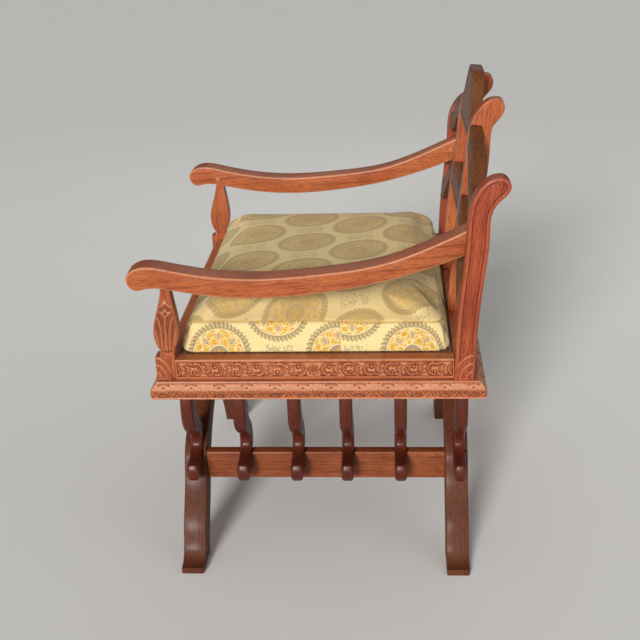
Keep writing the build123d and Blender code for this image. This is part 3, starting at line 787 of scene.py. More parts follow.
def carve_rail(x, y, ends, low, high):
    """Height and colour shift (wear, dust, painted highlight and darkening) of the sunk band on a seat
    rail, from the run along it and the height on its face.
    """
    carving = bpy.context.scene.chair_carving
    inside = rinceau(x, y - (low + high) / 2, carving.scroll, (high - low) / 2)
    edge = np.minimum(np.minimum(y - low, high - y), ends)
    fade = fading(edge)
    # the ground behind the scrolls is punched
    speckles = 0.5 * np.sin(x / (0.62 * MM) + 2 * np.sin(y / (0.9 * MM))) * np.sin(y / (0.55 * MM))
    punched = (inside < 0) * speckles
    rise = fade * (carving.depth * (relief(inside) - 1) + 0.12 * MM * punched)
    # the punched ground is pale with dust; the ridges are painted paler toward their crests, as wear and as
    # painted highlight; the shapes' outlines and the field's edge are painted darker
    wear = np.where(inside > 0, 0.35 * inside, 0.6 + 0.2 * punched) - 1.3 * bell(inside, 0.19)
    wear = fade * wear - 0.9 * bell(edge - 0.8 * MM, 0.8 * MM)
    return np.where(edge > 0, rise, 0), np.where(edge > 0, wear, 0.25)


def leaves_on_slope(x, y, unit, rise):
    """How far inside the overlapping leaves on the plinth's slope; y runs up the slope from the arris."""
    wide = np.abs(x) % unit / unit
    pair = np.where(wide < 0.5, wide, 1 - wide) * 2
    shapes = leaves(
        pair,
        y / rise,
        ((-0.1, -0.25), (0.72, 1.12), 0.62, 0.08, 2, 0.03),
        ((0.36, -0.2), (1.12, 0.92), 0.56, 0.05, 2, 0.03),
        ((-0.12, 0.5), (0.34, 1.3), 0.5, 0.0, 1, 0.03),
        ((0.8, -0.2), (1.2, 0.42), 0.36, 0.0, 1, 0.03),
    )
    return np.maximum.reduce(shapes)


def palmettes_on_band(x, y, unit, tall):
    """How far inside the small fans on the plinth's band; y runs up the band from the lower bead."""
    fold = np.abs(np.abs(x) % unit / unit - 0.5) * 2
    high = y / tall
    far = np.hypot(fold * 1.8, high)
    shapes = leaves(
        fold,
        high,
        ((0.5, -0.05), (0.98, 0.95), 0.36, 0.04, 1, 0.025),
        ((0.42, 0.55), (0.66, 1.1), 0.26, 0.0, 1, 0.025),
        ((0.74, -0.1), (1.1, 0.42), 0.3, 0.0, 1, 0.025),
    )
    shapes.append(np.where(far < 1.0, 0.5 - np.abs(far - 0.78) * 4.5, -1))
    shapes.append(np.where(far < 0.62, 0.5 - np.abs(far - 0.38) * 3.5, -1))
    return np.maximum.reduce(shapes)


# ---------------------------------------------------------------- straight mouldings
SIDES = ("front", "left", "rear", "right")  # as quarter turns from the front


def straight_moulding(node, profile, carved, reach, mitre, turn, centre, carve, columns):
    """A straight board with a moulded outer edge.

    profile lists (depth from the outer edge, height) round the section, and carved is the span of it
    that carries the carving. reach is half the length at the outer edge, and a mitred board gets
    shorter with depth. turn is the side it stands on, in quarter turns from the front.
    """
    profile = np.array(profile)
    run = run_along(profile)
    forward = np.roll(profile, -1, 0) - np.roll(profile, 1, 0)
    forward /= np.linalg.norm(forward, axis=1)[:, None]
    outward = np.column_stack([-forward[:, 1], forward[:, 0]])
    span = slice(*carved)
    cos, sin = math.cos(turn * math.pi / 2), math.sin(turn * math.pi / 2)
    shell = Shell()
    rings = []
    for share in np.linspace(-1, 1, columns):
        reach_here = reach - mitre * profile[:, 0]
        x = share * reach_here
        rise = np.zeros(len(profile))
        # the moulding's beads and rounds are painted pale, as wear and as a painted highlight on the
        # rounded edges
        wear = np.full(len(profile), 0.6)
        wear[:3] = 0.0  # only the beads are rubbed, not the flat behind them
        ends = reach_here[span] - np.abs(x[span])
        rise[span], wear[span] = carve(x[span], run[span] - run[carved[0]], ends)
        section = profile + outward * rise[:, None]
        out = centre[2] - section[:, 0]
        place = [centre[0] + x * cos + out * sin, centre[1] + x * sin - out * cos, section[:, 1]]
        rings.append(shell.ring(np.column_stack(place), wear))
    shell.loft(rings)
    return make_piece(shell, f"carved_{node}", "polished_mahogany", [node], (cos, sin, 0))


def arc(centre, radius, start, end, count):
    """Points of a rounded edge in a section."""
    angles = np.radians(np.linspace(start, end, count))
    return [(centre[0] + radius * math.cos(a), centre[1] + radius * math.sin(a)) for a in angles]


def line(start, end):
    """Points along a straight stretch of a section, without its last one."""
    count = max(1, round(math.dist(start, end) / CARVING_PITCH))
    return [tuple(np.array(start) + (np.array(end) - start) * i / count) for i in range(count)]


class BuildPlinth(bpy.types.Operator):
    """Makes the four mitred boards of the plinth, their slope and edge carved with leaves"""

    bl_idname = "armchair.plinth"
    bl_label = "Plinth"

    def execute(self, context):
        carving = context.scene.chair_carving
        low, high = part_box("plinth_front")
        half_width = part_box("plinth_left")[1].x
        rear_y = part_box("plinth_rear")[1].y
        centre_y = (low.y + rear_y) / 2
        half_depth = rear_y - centre_y
        width = high.y - low.y
        base, top = low.z, high.z
        band = 15.5 * MM
        slope_run = 9 * MM
        bead = 1.7 * MM
        lower_bead = arc((bead, base + bead), bead, 270, 90, 7)
        band_foot = (0.7 * MM, base + 2 * bead)
        arris = (0.4 * MM, base + band)
        slope_top = (slope_run - bead, top - 1.6 * bead)
        carved_part = line(band_foot, arris) + line(arris, slope_top) + [slope_top]
        top_bead = arc((slope_run + 0.6 * bead, top - bead), bead, 180, 90, 6)
        flat_part = [(slope_run + 4 * MM, top), (width, top), (width, base)]
        # turned round, so that the outside of the section is on the left of the way
        profile = (lower_bead + carved_part + top_bead + flat_part)[::-1]
        first = len(profile) - len(lower_bead) - len(carved_part)
        carved = (first, first + len(carved_part))
        slope_size = math.dist(arris, slope_top)
        band_size = math.dist(band_foot, arris)

        def carve(x, run, ends):
            on_slope = slope_size - run
            on_band = slope_size + band_size - run
            upper = on_slope > 0
            on_both = (
                leaves_on_slope(x, on_slope, carving.leaf, slope_size),
                palmettes_on_band(x, on_band, carving.leaf, band_size),
            )
            inside = np.where(upper, *on_both)
            fade = fading(np.minimum(np.minimum(run, on_band), ends))
            cut = bell(inside, np.where(upper, 0.13, 0.18))
            rise = carving.depth * fade * (0.35 * relief(inside) - 0.35 - 0.35 * cut)
            # the slope is painted much paler than the band, a painted highlight for the glare on the
            # upward-facing slope; the leaves' ridges a little paler again, their outlines painted darker
            rubbed_and_highlight = np.where(upper, 0.5, 0.05) + 0.15 * relief(inside)
            wear = fade * (rubbed_and_highlight - np.where(upper, 1.35, 1.1) * cut)
            return rise, wear

        for turn, side in enumerate(SIDES):
            reach, out = (half_depth, half_width) if turn % 2 else (half_width, half_depth)
            columns = round(2 * reach / CARVING_PITCH)
            centre = (0, centre_y, out)
            name = f"plinth_{side}"
            straight_moulding(name, profile, carved, reach, 1.0, turn, centre, carve, columns)
        return {"FINISHED"}


class BuildRails(bpy.types.Operator):
    """Makes the four seat rails, with a running scroll sunk in all but the rear one"""

    bl_idname = "armchair.rails"
    bl_label = "Seat rails"

    def execute(self, context):
        bead = 1.5 * MM
        strip = 4.5 * MM
        for turn, node in enumerate(("front_rail", "side_rail_left", "rear_rail", "side_rail_right")):
            low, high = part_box(node)
            base, top = low.z, high.z
            size = high - low
            long, thick = (size.y, size.x) if turn % 2 else (size.x, size.y)
            middle = (low + high) / 2
            foot_step = (0.0, base + strip)
            field_top = (0.0, top - 2 * bead - 0.6 * MM)
            face = line((0.0, base), foot_step) + line(foot_step, field_top) + [field_top]
            top_bead = arc((bead, top - bead), bead, 180, 90, 6)
            flat = [(bead + 2 * MM, top), (thick, top), (thick, base)]
            profile = (face + [(0.8 * MM, top - 2 * bead)] + top_bead + flat)[::-1]
            span = math.dist((0, base), field_top)
            plain = node == "rear_rail"

            def carve(x, run, ends):
                if plain:
                    return np.zeros(len(x)), np.zeros(len(x))
                return carve_rail(x, span - run, ends - 2 * MM, strip, field_top[1] - base)

            columns = 60 if plain else round(long / CARVING_PITCH)
            carved = (len(profile) - len(face), len(profile))
            centre = (middle.x, middle.y, thick / 2)
            straight_moulding(node, profile, carved, long / 2, 0.0, turn, centre, carve, columns)
        return {"FINISHED"}


# ---------------------------------------------------------------- sawn boards
class BuildSupports(bpy.types.Operator):
    """Makes the two arm supports, carved as a fluted leaf over a foot with curved veins"""

    bl_idname = "armchair.supports"
    bl_label = "Arm supports"

    def execute(self, context):
        depth = context.scene.chair_carving.depth
        board = Board("arm_support_left", (-1, 0, 0), 2.0 * MM, flipped=True)
        low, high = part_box("arm_support_left")
        face_x = low.x + 24 * MM
        foot_top = low.z + 42 * MM
        waist = low.z + 50 * MM
        levels = np.linspace(low.z, high.z, 96)
        rows = [board.outline[np.abs(board.outline[:, 1] - level) < 3 * MM, 0] for level in levels]
        fronts, rears = [row.min() for row in rows], [row.max() for row in rows]
        # ridges of the feathered leaf: how far across (-1 front, 1 rear) and millimetres above the waist
        ridges = [[(0.0, 0), (0.0, 62)]]
        for side in (-1, 1):
            ridges.append([(0.36 * side, 0), (0.36 * side, 40), (0.5 * side, 54), (0.86 * side, 66)])
            ridges.append([(0.72 * side, 0), (0.72 * side, 28), (0.85 * side, 42), (1.0 * side, 50)])
            ridges.append([(0.0, 74), (0.45 * side, 69), (0.95 * side, 78), (0.3 * side, 84), (0.0, 92)])
            ridges.append([(0.0, 62), (0.3 * side, 68), (0.0, 76)])

        def carve(flat, edge):
            y, z = flat.T
            front, rear = np.interp(z, levels, fronts), np.interp(z, levels, rears)
            across = (2 * y - front - rear) / (rear - front)
            half = (rear - front) / 2 / MM
            above = (z - waist) / MM
            line_height = np.zeros(len(y))
            for path in ridges:
                path = np.array(path)
                fine = np.linspace(0, len(path) - 1, 60)
                spots = [np.interp(fine, range(len(path)), path[:, axis]) for axis in (0, 1)]
                far = np.hypot((across[:, None] - spots[0]) * half[:, None], above[:, None] - spots[1])
                line_height = np.maximum(line_height, bell(far.min(axis=1), 1.15))
            bud = dome(np.hypot(across * half, (above - 89) * 0.8), 3.6)
            leafy = np.clip(above / 3 + 1, 0, 1) * np.clip((88 - above) / 10, 0, 1)
            holes = bell(above, 2.2) * (0.5 - 0.5 * np.cos(across * 2 * math.pi / 0.36)) ** 2
            fade = fading(edge, 1.5 * MM)
            rise = depth * (0.75 * line_height - 0.45 * leafy - 0.7 * holes + 0.5 * bud)
            wear = 1.1 * line_height + 0.4 * bud - 0.4 * leafy - 1.2 * holes
            return rise * fade, wear * fade

        ease = context.scene.chair_wood.ease
        shell = slab(board, ease, near=face_x, far=low.x, lattice=1.6 * MM, carving=carve)

        foot_rear = low.y + 25 * MM
        corners = [(low.y, low.z), (foot_rear, low.z), (foot_rear, foot_top), (low.y, foot_top)]
        board.outline = resample(np.array(corners), 2.0 * MM)

        def carve_foot(flat, edge):
            far = np.hypot((flat[:, 0] - low.y) / 0.64, flat[:, 1] - low.z)
            ring = sum(bell(far - radius * MM, 1.2 * MM) for radius in (13.5, 27, 40))
            return fading(edge) * depth * (0.5 * ring - 0.25), fading(edge) * (1.0 * ring - 0.15)

        # its inner face is set back a little, so that it doesn't lie in the leaf's own
        inner = low.x + 0.5 * MM
        slab(board, 1.0 * MM, near=high.x, far=inner, lattice=1.2 * MM, carving=carve_foot, shell=shell)
        make_pair(shell, "carved_support", "polished_mahogany", "arm_support", (0, 0, 1))
        return {"FINISHED"}


class BuildPosts(bpy.types.Operator):
    """Makes the outer posts, moulded along their outline with a veined foot, and the plain inner stiles"""

    bl_idname = "armchair.posts"
    bl_label = "Posts and stiles"

    def execute(self, context):
        ease = context.scene.chair_wood.ease
        depth = context.scene.chair_carving.depth
        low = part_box("outer_post_left")[0]
        foot_rear = low.y + 32 * MM
        foot_tall = 47 * MM
        foot_wide = 34 * MM

        def carve(flat, edge):
            """A rounded rim, a groove and a fine line that follow the outline, and veins on the foot."""
            rim = dome(edge - 1.2 * MM, 2.6 * MM)
            groove = bell(edge - 4.6 * MM, 1.0 * MM)
            fine = bell(edge - 8.6 * MM, 0.7 * MM)
            far = np.hypot((foot_rear - flat[:, 0]) / foot_wide, (flat[:, 1] - low.z) / foot_tall)
            plain = np.clip((far - 1.0) * 12, 0, 1)
            veins = sum(bell((far - share) * foot_tall, 1.0 * MM) for share in (0.38, 0.68, 0.98))
            rise = 0.2 * depth * rim - 0.7 * depth * groove - 0.3 * depth * fine
            rise = rise * plain + fading(edge) * 0.5 * depth * (veins - 0.3 * (1 - plain))
            wear = 0.3 * rim**3 - 0.5 * groove - 0.3 * fine
            return rise, wear * plain + fading(edge) * 0.95 * veins

        up = (0, 0.12, 1)
        post = slab(Board("outer_post_left", (1, 0, 0), 2.5 * MM), ease, lattice=1.5 * MM, carving=carve)
        make_pair(post, "moulded_post", "polished_mahogany_posts", "outer_post", up)
        stile = slab(Board("inner_stile_left", (1, 0, 0), 2.5 * MM), ease)
        make_pair(stile, "plain_stile", "polished_mahogany", "inner_stile", up)
        return {"FINISHED"}


class BuildArms(bpy.types.Operator):
    """Makes the two long curved arms"""

    bl_idname = "armchair.arms"
    bl_label = "Arms"

    def execute(self, context):
        # the outer face is housed for the post, and the inner face is whole
        board = Board("arm_left", (-1, 0, 0), flipped=True)
        # the arms' rounded edges get a strong pale line: worn, and a painted highlight along the edge
        arm = slab(board, context.scene.chair_wood.arm_ease, rounds=5, edge_wear_and_highlight=0.85)
        make_pair(arm, "curved_arm", "polished_mahogany", "arm", (-0.04, 1, 0.08))
        return {"FINISHED"}


class BuildBack(bpy.types.Operator):
    """Makes the arched crest, the middle rail and their four wings"""

    bl_idname = "armchair.back"
    bl_label = "Back boards"

    def execute(self, context):
        ease = context.scene.chair_wood.ease
        depth = context.scene.chair_carving.depth

        def moulded(flat, edge):
            groove = bell(edge - 5.0 * MM, 0.9 * MM)
            fade = fading(edge, 1.5 * MM)
            return -0.5 * depth * groove * fade, -0.5 * groove * fade

        def board(node):
            return slab(Board(node, (0, -1, 0)), ease, lattice=3.0 * MM, carving=moulded, edge_wear_and_highlight=0.2)

        finish, along = "polished_mahogany_back", (1, 0, 0)
        make_piece(board("crest_centre"), "arched_crest", finish, ["crest_centre"], along)
        make_piece(board("mid_rail"), "middle_rail", finish, ["mid_rail"], along)
        for node, name in (("crest_wing", "crest_wing_board"), ("mid_wing", "middle_wing_board")):
            make_pair(board(f"{node}_left"), name, finish, node, along)
        return {"FINISHED"}


class BuildLegs(bpy.types.Operator):
    """Makes the four legs, halved where they cross, and the two stretchers"""

    bl_idname = "armchair.legs"
    bl_label = "Legs and stretchers"

    def execute(self, context):
        ease = context.scene.chair_wood.ease
        for place in ("front", "rear"):
            # the left leg is whole on its rear face, the right leg on its front face
            sides = (("left", 1), ("right", -1))
            boards = {side: Board(f"leg_{place}_{side}", (0, y, 0)) for side, y in sides}
            low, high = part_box(f"leg_{place}_left")
            middle = (low.y + high.y) / 2
            for side, other, lean in (("left", "right", 0.45), ("right", "left", -0.45)):
                node = f"leg_{place}_{side}"
                shell = slab(boards[side], ease)
                leg = make_piece(shell, f"curved_{node}", "polished_mahogany_legs", [node], (lean, 0, -1))
                # the other leg's half of the crossing, from the middle towards its own face
                toward = boards[other].w.y
                near, far = sorted((toward * middle, toward * middle + 60 * MM))
                half = slab(boards[other], 0.02 * MM, near=far, far=near, rounds=1)
                tool = placed("cutter", half.mesh("cutter"))
                cut = leg.modifiers.new("crossing", "BOOLEAN")
                cut.operation = "DIFFERENCE"
                cut.solver = "EXACT"
                cut.object = tool
                applied(leg)
                bpy.data.objects.remove(tool)

        for side, facing in (("left", 1), ("right", -1)):
            node = f"side_stretcher_{side}"
            board = Board(node, (facing, 0, 0))
            low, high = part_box(node)
            corners = np.array([(low.y, low.z), (high.y, low.z), (high.y, high.z), (low.y, high.z)])
            # the right one's axes run the other way
            corners = (corners * (facing, 1))[::facing]
            board.outline = resample(corners, 6 * MM)
            name = f"flat_stretcher_{side}"
            make_piece(slab(board, ease), name, "polished_mahogany_stretchers", [node], (0, 1, 0))
        return {"FINISHED"}


# ---------------------------------------------------------------- repeated pieces
def repeated(name, shape, spots, turns, material, size=1.0):
    """One shape set at each spot with its own turn by Geometry Nodes, as one plain mesh."""
    pattern = placed(shape.name, shape)
    points = bpy.data.meshes.new(f"{name}_points")
    points.from_pydata(spots, [], [])
    store(points, "turn", np.array(turns, float))
    holder = placed(f"{name}_holder", points)

    tree = bpy.data.node_groups.new("set_along", "GeometryNodeTree")
    keys = {}
    for title, kind in (("Points", "Geometry"), ("Pattern", "Object"), ("Size", "Float")):
        socket = tree.interface.new_socket(title, in_out="INPUT", socket_type=f"NodeSocket{kind}")
        keys[title] = socket.identifier
    tree.interface.new_socket("Pieces", in_out="OUTPUT", socket_type="NodeSocketGeometry")
    put = partial(add, tree)
    given = put("NodeGroupInput").outputs
    turn = put("GeometryNodeInputNamedAttribute", inputs={"Name": "turn"}, data_type="FLOAT_VECTOR")
    one = put("GeometryNodeObjectInfo", inputs={"Object": given["Pattern"]}).outputs["Geometry"]
    setting = {"Points": given["Points"], "Instance": one, "Scale": given["Size"]}
    setting["Rotation"] = turn.outputs["Attribute"]
    copies = put("GeometryNodeInstanceOnPoints", inputs=setting)
    real = put("GeometryNodeRealizeInstances", inputs={"Geometry": copies.outputs[0]})
    look = {"Geometry": real.outputs[0], "Material": material_named(material)}
    finish = put("GeometryNodeSetMaterial", inputs=look)
    put("NodeGroupOutput", inputs={"Pieces": finish.outputs[0]})

    modifier = holder.modifiers.new("set_along", "NODES")
    modifier.node_group = tree
    modifier[keys["Pattern"]] = pattern
    modifier[keys["Size"]] = size
    holder.update_tag()
    mesh = evaluated_mesh(holder, name)
    bpy.data.objects.remove(holder)
    bpy.data.objects.remove(pattern)
    return mesh


class BuildRibs(bpy.types.Operator):
    """Sets the curved ribs along both sides with Geometry Nodes, all cut from one pattern"""

    bl_idname = "armchair.ribs"
    bl_label = "Ribs"

    def execute(self, context):
        board = Board("rib_left_3", (0, -1, 0), 2.5 * MM)
        half = (board.near - board.far) / 2
        rib = slab(board, context.scene.chair_wood.rib_ease, near=half, far=-half, rounds=5, edge_wear_and_highlight=0.25)
        nodes = [f"rib_{side}_{i}" for side in ("left", "right") for i in range(1, 7)]
        middles = [sum((corner.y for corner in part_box(node)), 0.0) / 2 for node in nodes[:6]]
        spots = [(0, y, 0) for y in middles] * 2
        turns = [(0, 0, 0)] * 6 + [(0, 0, math.pi)] * 6
        shape = rib.mesh("rib_pattern", (0.2, 0, 1))
        mesh = repeated("curved_ribs", shape, spots, turns, "polished_mahogany_ribs")
        # each rib is sawn from another piece of wood
        points = triples(mesh.vertices, "co")
        station = np.round(points[:, 1] / (60 * MM)) + 20 * (points[:, 0] > 0)
        grain = mesh.attributes["grain"].data
        shifted = triples(grain, "vector") + station[:, None] * np.array([0.31, 0.17, 0.11])
        grain.foreach_set("vector", shifted.ravel())
        settle(mesh)
        show(mesh, "polished_mahogany_ribs", nodes)
        return {"FINISHED"}


def islands(node):
    """The points of each separate solid in a CAD node."""
    solid = welded(node)
    groups = []
    left = dict.fromkeys(solid.verts)
    while left:
        reached = [left.popitem()[0]]
        for vert in reached:
            onward = [e.other_vert(vert) for e in vert.link_edges if e.other_vert(vert) in left]
            reached.extend(onward)
            for other in onward:
                left.pop(other, None)
        groups.append(np.array([v.co[:] for v in reached]))
    solid.free()
    return groups


def turned(radius, profile, around=24):
    """A turned peg from (share of its radius, height) pairs."""
    shell = Shell()
    angles = np.linspace(0, 2 * math.pi, around, endpoint=False)
    circle = np.column_stack([np.cos(angles), np.sin(angles)])
    rings = [np.column_stack([share * radius * circle, np.full(around, level)]) for share, level in profile]
    shell.loft([shell.ring(points, 0.3) for points in rings])
    return shell


class BuildPlugs(bpy.types.Operator):
    """Sets the turned plugs over the arm screws and the pins of the leg crossings with Geometry Nodes"""

    bl_idname = "armchair.plugs"
    bl_label = "Screw plugs and pins"

    def execute(self, context):
        domed = [(1.0, -0.5 * MM), (0.96, -0.1 * MM), (0.85, 0.15 * MM), (0.6, 0.35 * MM), (0.3, 0.45 * MM)]
        tall = 4.0 * MM
        spots, turns = [], []
        for points in islands("screw_plugs"):
            middle = points.mean(axis=0)
            side = -math.copysign(1, middle[0])  # the plugs show on the inner faces
            spread = np.linalg.svd(points - middle)[2]
            axis = Vector(spread[2]) if abs(spread[2][0]) > 0.8 else Vector((1, 0, 0))
            axis *= math.copysign(1, axis.x) * side
            spots.append(tuple(Vector(middle) + axis * (tall / 2 + 0.1 * MM)))
            turns.append(tuple(axis.to_track_quat("Z", "Y").to_euler()))
        plug = turned(4.5 * MM, [(1.0, -tall), *domed]).mesh("plug_pattern", (1, 0, 0))
        mesh = repeated("screw_plug_caps", plug, spots, turns, "polished_mahogany")
        settle(mesh)
        show(mesh, "polished_mahogany", ["screw_plugs"])

        pins = islands("crossing_pins")
        low, high = pins[0].min(axis=0), pins[0].max(axis=0)
        half = (high[1] - low[1]) / 2
        upper = [(share, half + level) for share, level in domed]
        lower = [(share, -level) for share, level in reversed(upper)]
        spots = [tuple((points.min(axis=0) + points.max(axis=0)) / 2) for points in pins]
        turns = [(math.pi / 2, 0, 0)] * len(pins)
        pin = turned((high[2] - low[2]) / 2, lower + upper).mesh("pin_pattern", (0, 0, 1))
        mesh = repeated("leg_crossing_pins", pin, spots, turns, "polished_mahogany_legs")
        settle(mesh)
        show(mesh, "polished_mahogany_legs", ["crossing_pins"])
        return {"FINISHED"}


# ---------------------------------------------------------------- cushion
def cushion_levels():
    """Bottom, seam and top of the cushion, from its CAD solid: the seam is where its sides end."""
    points = triples(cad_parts["seat_cushion"].data.vertices, "co")
    sides = points[np.abs(points[:, 0]) > np.abs(points[:, 0]).max() - 0.5 * MM]
    return points[:, 2].min(), sides[:, 2].max(), points[:, 2].max()


def raw_cushion():
    """The slack cover before it is filled: pulled-in sides and a low crown, a little small."""
    low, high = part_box("seat_cushion")
    bottom, seam, top = cushion_levels()
    centre = np.array([0.0, (low.y + high.y) / 2])
    shrink = 0.5 * MM
    radius = 26 * MM
    half_x, half_y = high.x - shrink, (high.y - low.y) / 2 - shrink
    corners = []
    for sx, sy, start in ((1, -1, -90), (1, 1, 0), (-1, 1, 90), (-1, -1, 180)):
        middle = (centre[0] + sx * (half_x - radius), centre[1] + sy * (half_y - radius))
        corners += arc(middle, radius, start, start + 90, 9)
    outline = resample(np.array(corners), 6 * MM, math.radians(60))
    spread = (outline - centre) / np.hypot(*(outline - centre).T)[:, None]
    # the foot, the sides and the crown, as (points, level) of each ring
    rings = [(centre + (outline - centre) * share, bottom) for share in (0.25, 0.5, 0.75, 0.94)]
    for share in np.linspace(0, 1, 9):
        rings.append((outline - spread * (3 * MM * share**3), bottom + share * (seam - bottom - 1 * MM)))
    crown = top - seam - 10 * MM
    for share in (0.985, 0.96, 0.92, 0.86, 0.78, 0.68, 0.55, 0.4, 0.25, 0.1):
        rings.append((centre + (outline - centre) * share, seam + crown * (1 - share**4) ** 0.7))
    shell = Shell()
    shell.loft([shell.ring(np.column_stack([flat, np.full(len(flat), z)])) for flat, z in rings])
    return placed("seat_pad", shell.mesh("seat_pad")), outline, centre


def fill_cover(pad, look):
    """Blows the cover up with a cloth simulation and keeps each point within reach of where it began."""
    remesh = pad.modifiers.new("voxels", "REMESH")
    remesh.mode = "VOXEL"
    remesh.voxel_size = look.voxel
    rest = triples(applied(pad).vertices, "co")
    # the cushion's own weight holds its foot on the seat
    foot = np.flatnonzero(rest[:, 2] < rest[:, 2].min() + look.voxel)
    held = pad.vertex_groups.new(name="held")
    held.add(foot.tolist(), 1.0, "REPLACE")
    cloth = pad.modifiers.new("cover", "CLOTH")
    for name, value in {
        "quality": 4,
        "mass": 0.3,
        "tension_stiffness": 12,
        "compression_stiffness": 8,
        "shear_stiffness": 4,
        "bending_stiffness": 0.4,
        "vertex_group_mass": held.name,
        "use_pressure": True,
        "uniform_pressure_force": look.pressure,
    }.items():
        setattr(cloth.settings, name, value)
    cloth.settings.effector_weights.gravity = 0
    cloth.point_cache.frame_end = look.frames
    for step in range(1, look.frames + 1):
        bpy.context.scene.frame_set(step)
    filled = evaluated_mesh(pad, "seat_pad")
    pad.modifiers.clear()
    bpy.context.scene.frame_set(1)
    moved = triples(filled.vertices, "co") - rest
    far = np.linalg.norm(moved, axis=1)
    moved *= (np.minimum(far, look.reach) / np.maximum(far, 1e-9))[:, None]
    filled.vertices.foreach_set("co", (rest + moved).ravel())
    pad.data = filled


class BuildCushion(bpy.types.Operator):
    """Makes the loose cushion: a simulated, seamed cover in figured cloth"""

    bl_idname = "armchair.cushion"
    bl_label = "Cushion"

    def execute(self, context):
        pad, outline, centre = raw_cushion()
        fill_cover(pad, context.scene.chair_cushion)
        finer = pad.modifiers.new("finer", "SUBSURF")
        finer.levels = finer.render_levels = 1
        mesh = applied(pad)
        low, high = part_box("seat_cushion")
        bottom, seam, top = cushion_levels()
        points = triples(mesh.vertices, "co")
        offset = points[:, :2] - centre
        edge, nearest = nearest_on(outline, points[:, :2])
        beside = np.argmin(np.hypot(*(outline - (high.x, centre[1])).T))
        start = run_along(outline)[beside]
        along = nearest - start + outline[beside][1]  # as Y along the left side

        # the seam's crease and its puckers; the side strip is joined, with a tuck at its rear part's foot
        near_edge = np.clip(1 - edge / (30 * MM), 0, 1)
        puckers = np.sin(nearest / (11 * MM) + 1.4 * np.sin(nearest / (47 * MM)))
        puckers += 0.6 * np.sin(nearest / (6.3 * MM) + 2.1)
        seam_here = seam + 1.6 * MM * np.sin(nearest / (90 * MM))
        seam_here += 0.7 * MM * np.sin(nearest / (33 * MM) + 1)
        tuck = bottom + 12 * MM
        pieced = 36 * MM
        rear_part = (along > pieced) & (along < high.y)
        above = points[:, 2] - seam_here
        outward = offset / np.maximum(np.linalg.norm(offset, axis=1), 1e-9)[:, None]
        crease = bell(above, 2.2 * MM)
        crease += 0.5 * rear_part * bell(points[:, 2] - tuck, 1.8 * MM)
        crease += 0.3 * (above < 0) * bell(along - pieced, 1.6 * MM)
        push = near_edge * (-2.6 * MM * crease + 0.75 * MM * (bell(above, 16 * MM) * puckers))
        points[:, :2] += outward * push[:, None]

        # soft dents where someone sat, and the slow sag of old filling
        inside = np.clip(edge / (120 * MM), 0, 1)
        sag = np.exp(-((offset[:, 0] / (170 * MM)) ** 2 + ((offset[:, 1] + 10 * MM) / (130 * MM)) ** 2))
        lumps = np.sin(offset[:, 0] / (61 * MM) + 0.7) * np.sin(offset[:, 1] / (53 * MM) + 2.0)
        upper = np.clip((points[:, 2] - seam) / (15 * MM), 0, 1)
        points[:, 2] += upper * inside * (-4.0 * MM * sag + 1.6 * MM * lumps)
        side_room = high.x + 1.5 * MM
        room = ((-side_room, side_room), (low.y - 4 * MM, high.y + 4 * MM), (bottom + 0.2 * MM, None))
        for axis, limits in enumerate(room):
            points[:, axis] = np.clip(points[:, axis], *limits)
        mesh.vertices.foreach_set("co", points.ravel())

        # the top is cut a little askew, and the rear strip is shifted along the weave
        flat = np.zeros(len(points))
        across = points[:, 1] + 43 * MM
        strip = along + 172 * MM + 77 * MM * (along > pieced)
        store(mesh, "top_cloth", np.column_stack([points[:, 0] + 37 * MM + 0.27 * across, across, flat]))
        store(mesh, "side_cloth", np.column_stack([points[:, 2] - bottom + 5 * MM, strip, flat]))
        store(mesh, "above_seam", above)
        mesh.shade_smooth()
        mesh.materials.clear()
        mesh.materials.append(material_named("figured_jacquard"))
        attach(pad, PAD)
        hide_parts("seat_cushion")
        return {"FINISHED"}


# ---------------------------------------------------------------- hidden pieces
class FinishHidden(bpy.types.Operator):
    """Gives the seat board, cleats, blocks, dowels, pins and screws their own finishes"""

    bl_idname = "armchair.hidden"
    bl_label = "Hidden pieces"

    def execute(self, context):
        for name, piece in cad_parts.items():
            if piece.hide_render:
                continue
            steel = name.endswith("_screws")
            piece.data.materials.clear()
            piece.data.materials.append(material_named("drawn_steel" if steel else "sawn_beech"))
        return {"FINISHED"}


# ---------------------------------------------------------------- stage
CAMERA_PLACE = (1.98491, 0.12270, 1.19002)
CAMERA_DOWN = 0.39608
CAMERA_YAW = 0.07202
CAMERA_ROLL = 0.03534
CAMERA_LENS = 61.88  # on a 36 mm sensor
FLOOR_REACH = 25.0


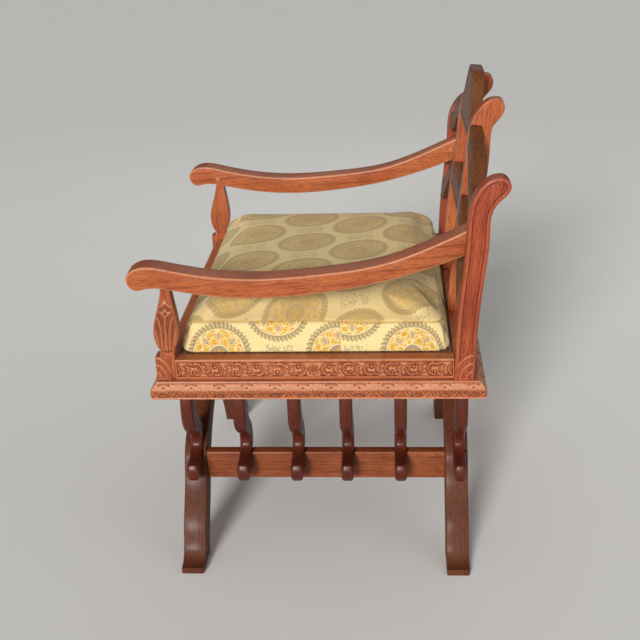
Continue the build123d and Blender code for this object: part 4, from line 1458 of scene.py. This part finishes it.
class SetStage(bpy.types.Operator):
    """Makes the plain floor, the soft lamps, the world and the camera"""

    bl_idname = "armchair.stage"
    bl_label = "Stage"

    def execute(self, context):
        look = context.scene.chair_stage
        self.make_floor(look)
        self.make_world(look)
        key = self.make_lamp("key", "SUN", (4.5, -1.1, 2.1), look.key)
        key.angle = look.spread
        for name, place in (("fill", (1.2, 2.0, 1.9)), ("rear_fill", (-2.2, 0.2, 2.0))):
            self.make_lamp(name, "AREA", place, look.fill).size = 1.6
        self.make_camera()
        context.scene.view_settings.view_transform = "Standard"
        return {"FINISHED"}

    def make_floor(self, look):
        mesh = bpy.data.meshes.new("studio_floor")
        corners = [(x * FLOOR_REACH, y * FLOOR_REACH, 0) for x, y in ((-1, -1), (1, -1), (1, 1), (-1, 1))]
        mesh.from_pydata(corners, [], [(0, 1, 2, 3)])
        material, put, finish = new_material("studio_floor")
        mottle = put("noise", put("place"), 3.0, 2.0)
        paler = tuple(min(1.0, c * 1.03) for c in look.floor[:3]) + (1.0,)
        finish({"Base Color": put("blend", mottle, look.floor[:], paler), "Roughness": 0.9})
        mesh.materials.append(material)
        placed("studio_floor", mesh)

    def make_world(self, look):
        world = bpy.data.worlds.new("studio")
        bpy.context.scene.world = world
        world.use_nodes = True
        world.node_tree.nodes.clear()
        put = partial(add, world.node_tree)
        ray = put("ShaderNodeLightPath").outputs
        seen = put("MAXIMUM", ray["Is Camera Ray"], ray["Is Transmission Ray"])
        mirrored = put("mix", ray["Is Glossy Ray"], look.world, 0.5 * look.world)
        strength = put("mix", seen, mirrored, 0.86)
        light = put("ShaderNodeBackground", inputs={"Color": linear("#F7F6F3"), "Strength": strength})
        put("ShaderNodeOutputWorld", inputs={"Surface": light.outputs[0]})

    def make_lamp(self, name, kind, place, power):
        """A lamp that looks at the middle of the chair."""
        lamp = bpy.data.lights.new(name, kind)
        lamp.energy = power
        made = placed(name, lamp)
        made.location = place
        ahead = (CAD_BOX[0] + CAD_BOX[1]) / 2 - Vector(place)
        made.rotation_euler = ahead.to_track_quat("-Z", "Y").to_euler()
        return lamp

    def make_camera(self):
        up, forward, right = Vector((0, 0, 1)), Vector((-1, 0, 0)), Vector((0, 1, 0))
        yaw = Matrix.Rotation(CAMERA_YAW, 3, up)
        forward, right = yaw @ forward, yaw @ right
        tilt = Matrix.Rotation(-CAMERA_DOWN, 3, right)
        forward, up = tilt @ forward, tilt @ up
        roll = Matrix.Rotation(CAMERA_ROLL, 3, forward)
        right, up = roll @ right, roll @ up
        data = bpy.data.cameras.new("camera")
        data.sensor_width = 36
        data.lens = CAMERA_LENS
        camera = placed("camera", data)
        facing = Matrix((right, up, -forward)).transposed().to_4x4()
        camera.matrix_world = Matrix.Translation(CAMERA_PLACE) @ facing
        bpy.context.scene.camera = camera


# ---------------------------------------------------------------- panel and registration
STEPS = (
    BuildPlinth,
    BuildRails,
    BuildSupports,
    BuildPosts,
    BuildArms,
    BuildBack,
    BuildLegs,
    BuildRibs,
    BuildPlugs,
    BuildCushion,
    FinishHidden,
    SetStage,
)
GROUPS = {
    "chair_wood": ChairWood,
    "chair_carving": ChairCarving,
    "chair_cushion": ChairCushion,
    "chair_stage": ChairStage,
}


class ArmchairPanel(bpy.types.Panel):
    """Lists the armchair's settings and the steps that make it"""

    bl_idname = "VIEW3D_PT_armchair"
    bl_label = "Armchair"
    bl_space_type = "VIEW_3D"
    bl_region_type = "UI"
    bl_category = "Armchair"

    def draw(self, context):
        for step_class in STEPS:
            self.layout.operator(step_class.bl_idname)
        for name, group in GROUPS.items():
            box = self.layout.box()
            for field in group.__annotations__:
                box.prop(getattr(context.scene, name), field)


def register():
    for name, group in GROUPS.items():
        bpy.utils.register_class(group)
        setattr(bpy.types.Scene, name, PointerProperty(type=group))
    for step_class in (*STEPS, ArmchairPanel):
        bpy.utils.register_class(step_class)


def unregister():
    for step_class in reversed((*STEPS, ArmchairPanel)):
        bpy.utils.unregister_class(step_class)
    for name, group in GROUPS.items():
        delattr(bpy.types.Scene, name)
        bpy.utils.unregister_class(group)


def main():
    register()
    for step_class in STEPS:
        group, call = step_class.bl_idname.split(".")
        getattr(getattr(bpy.ops, group), call)()


if __name__ == "__main__":
    main()
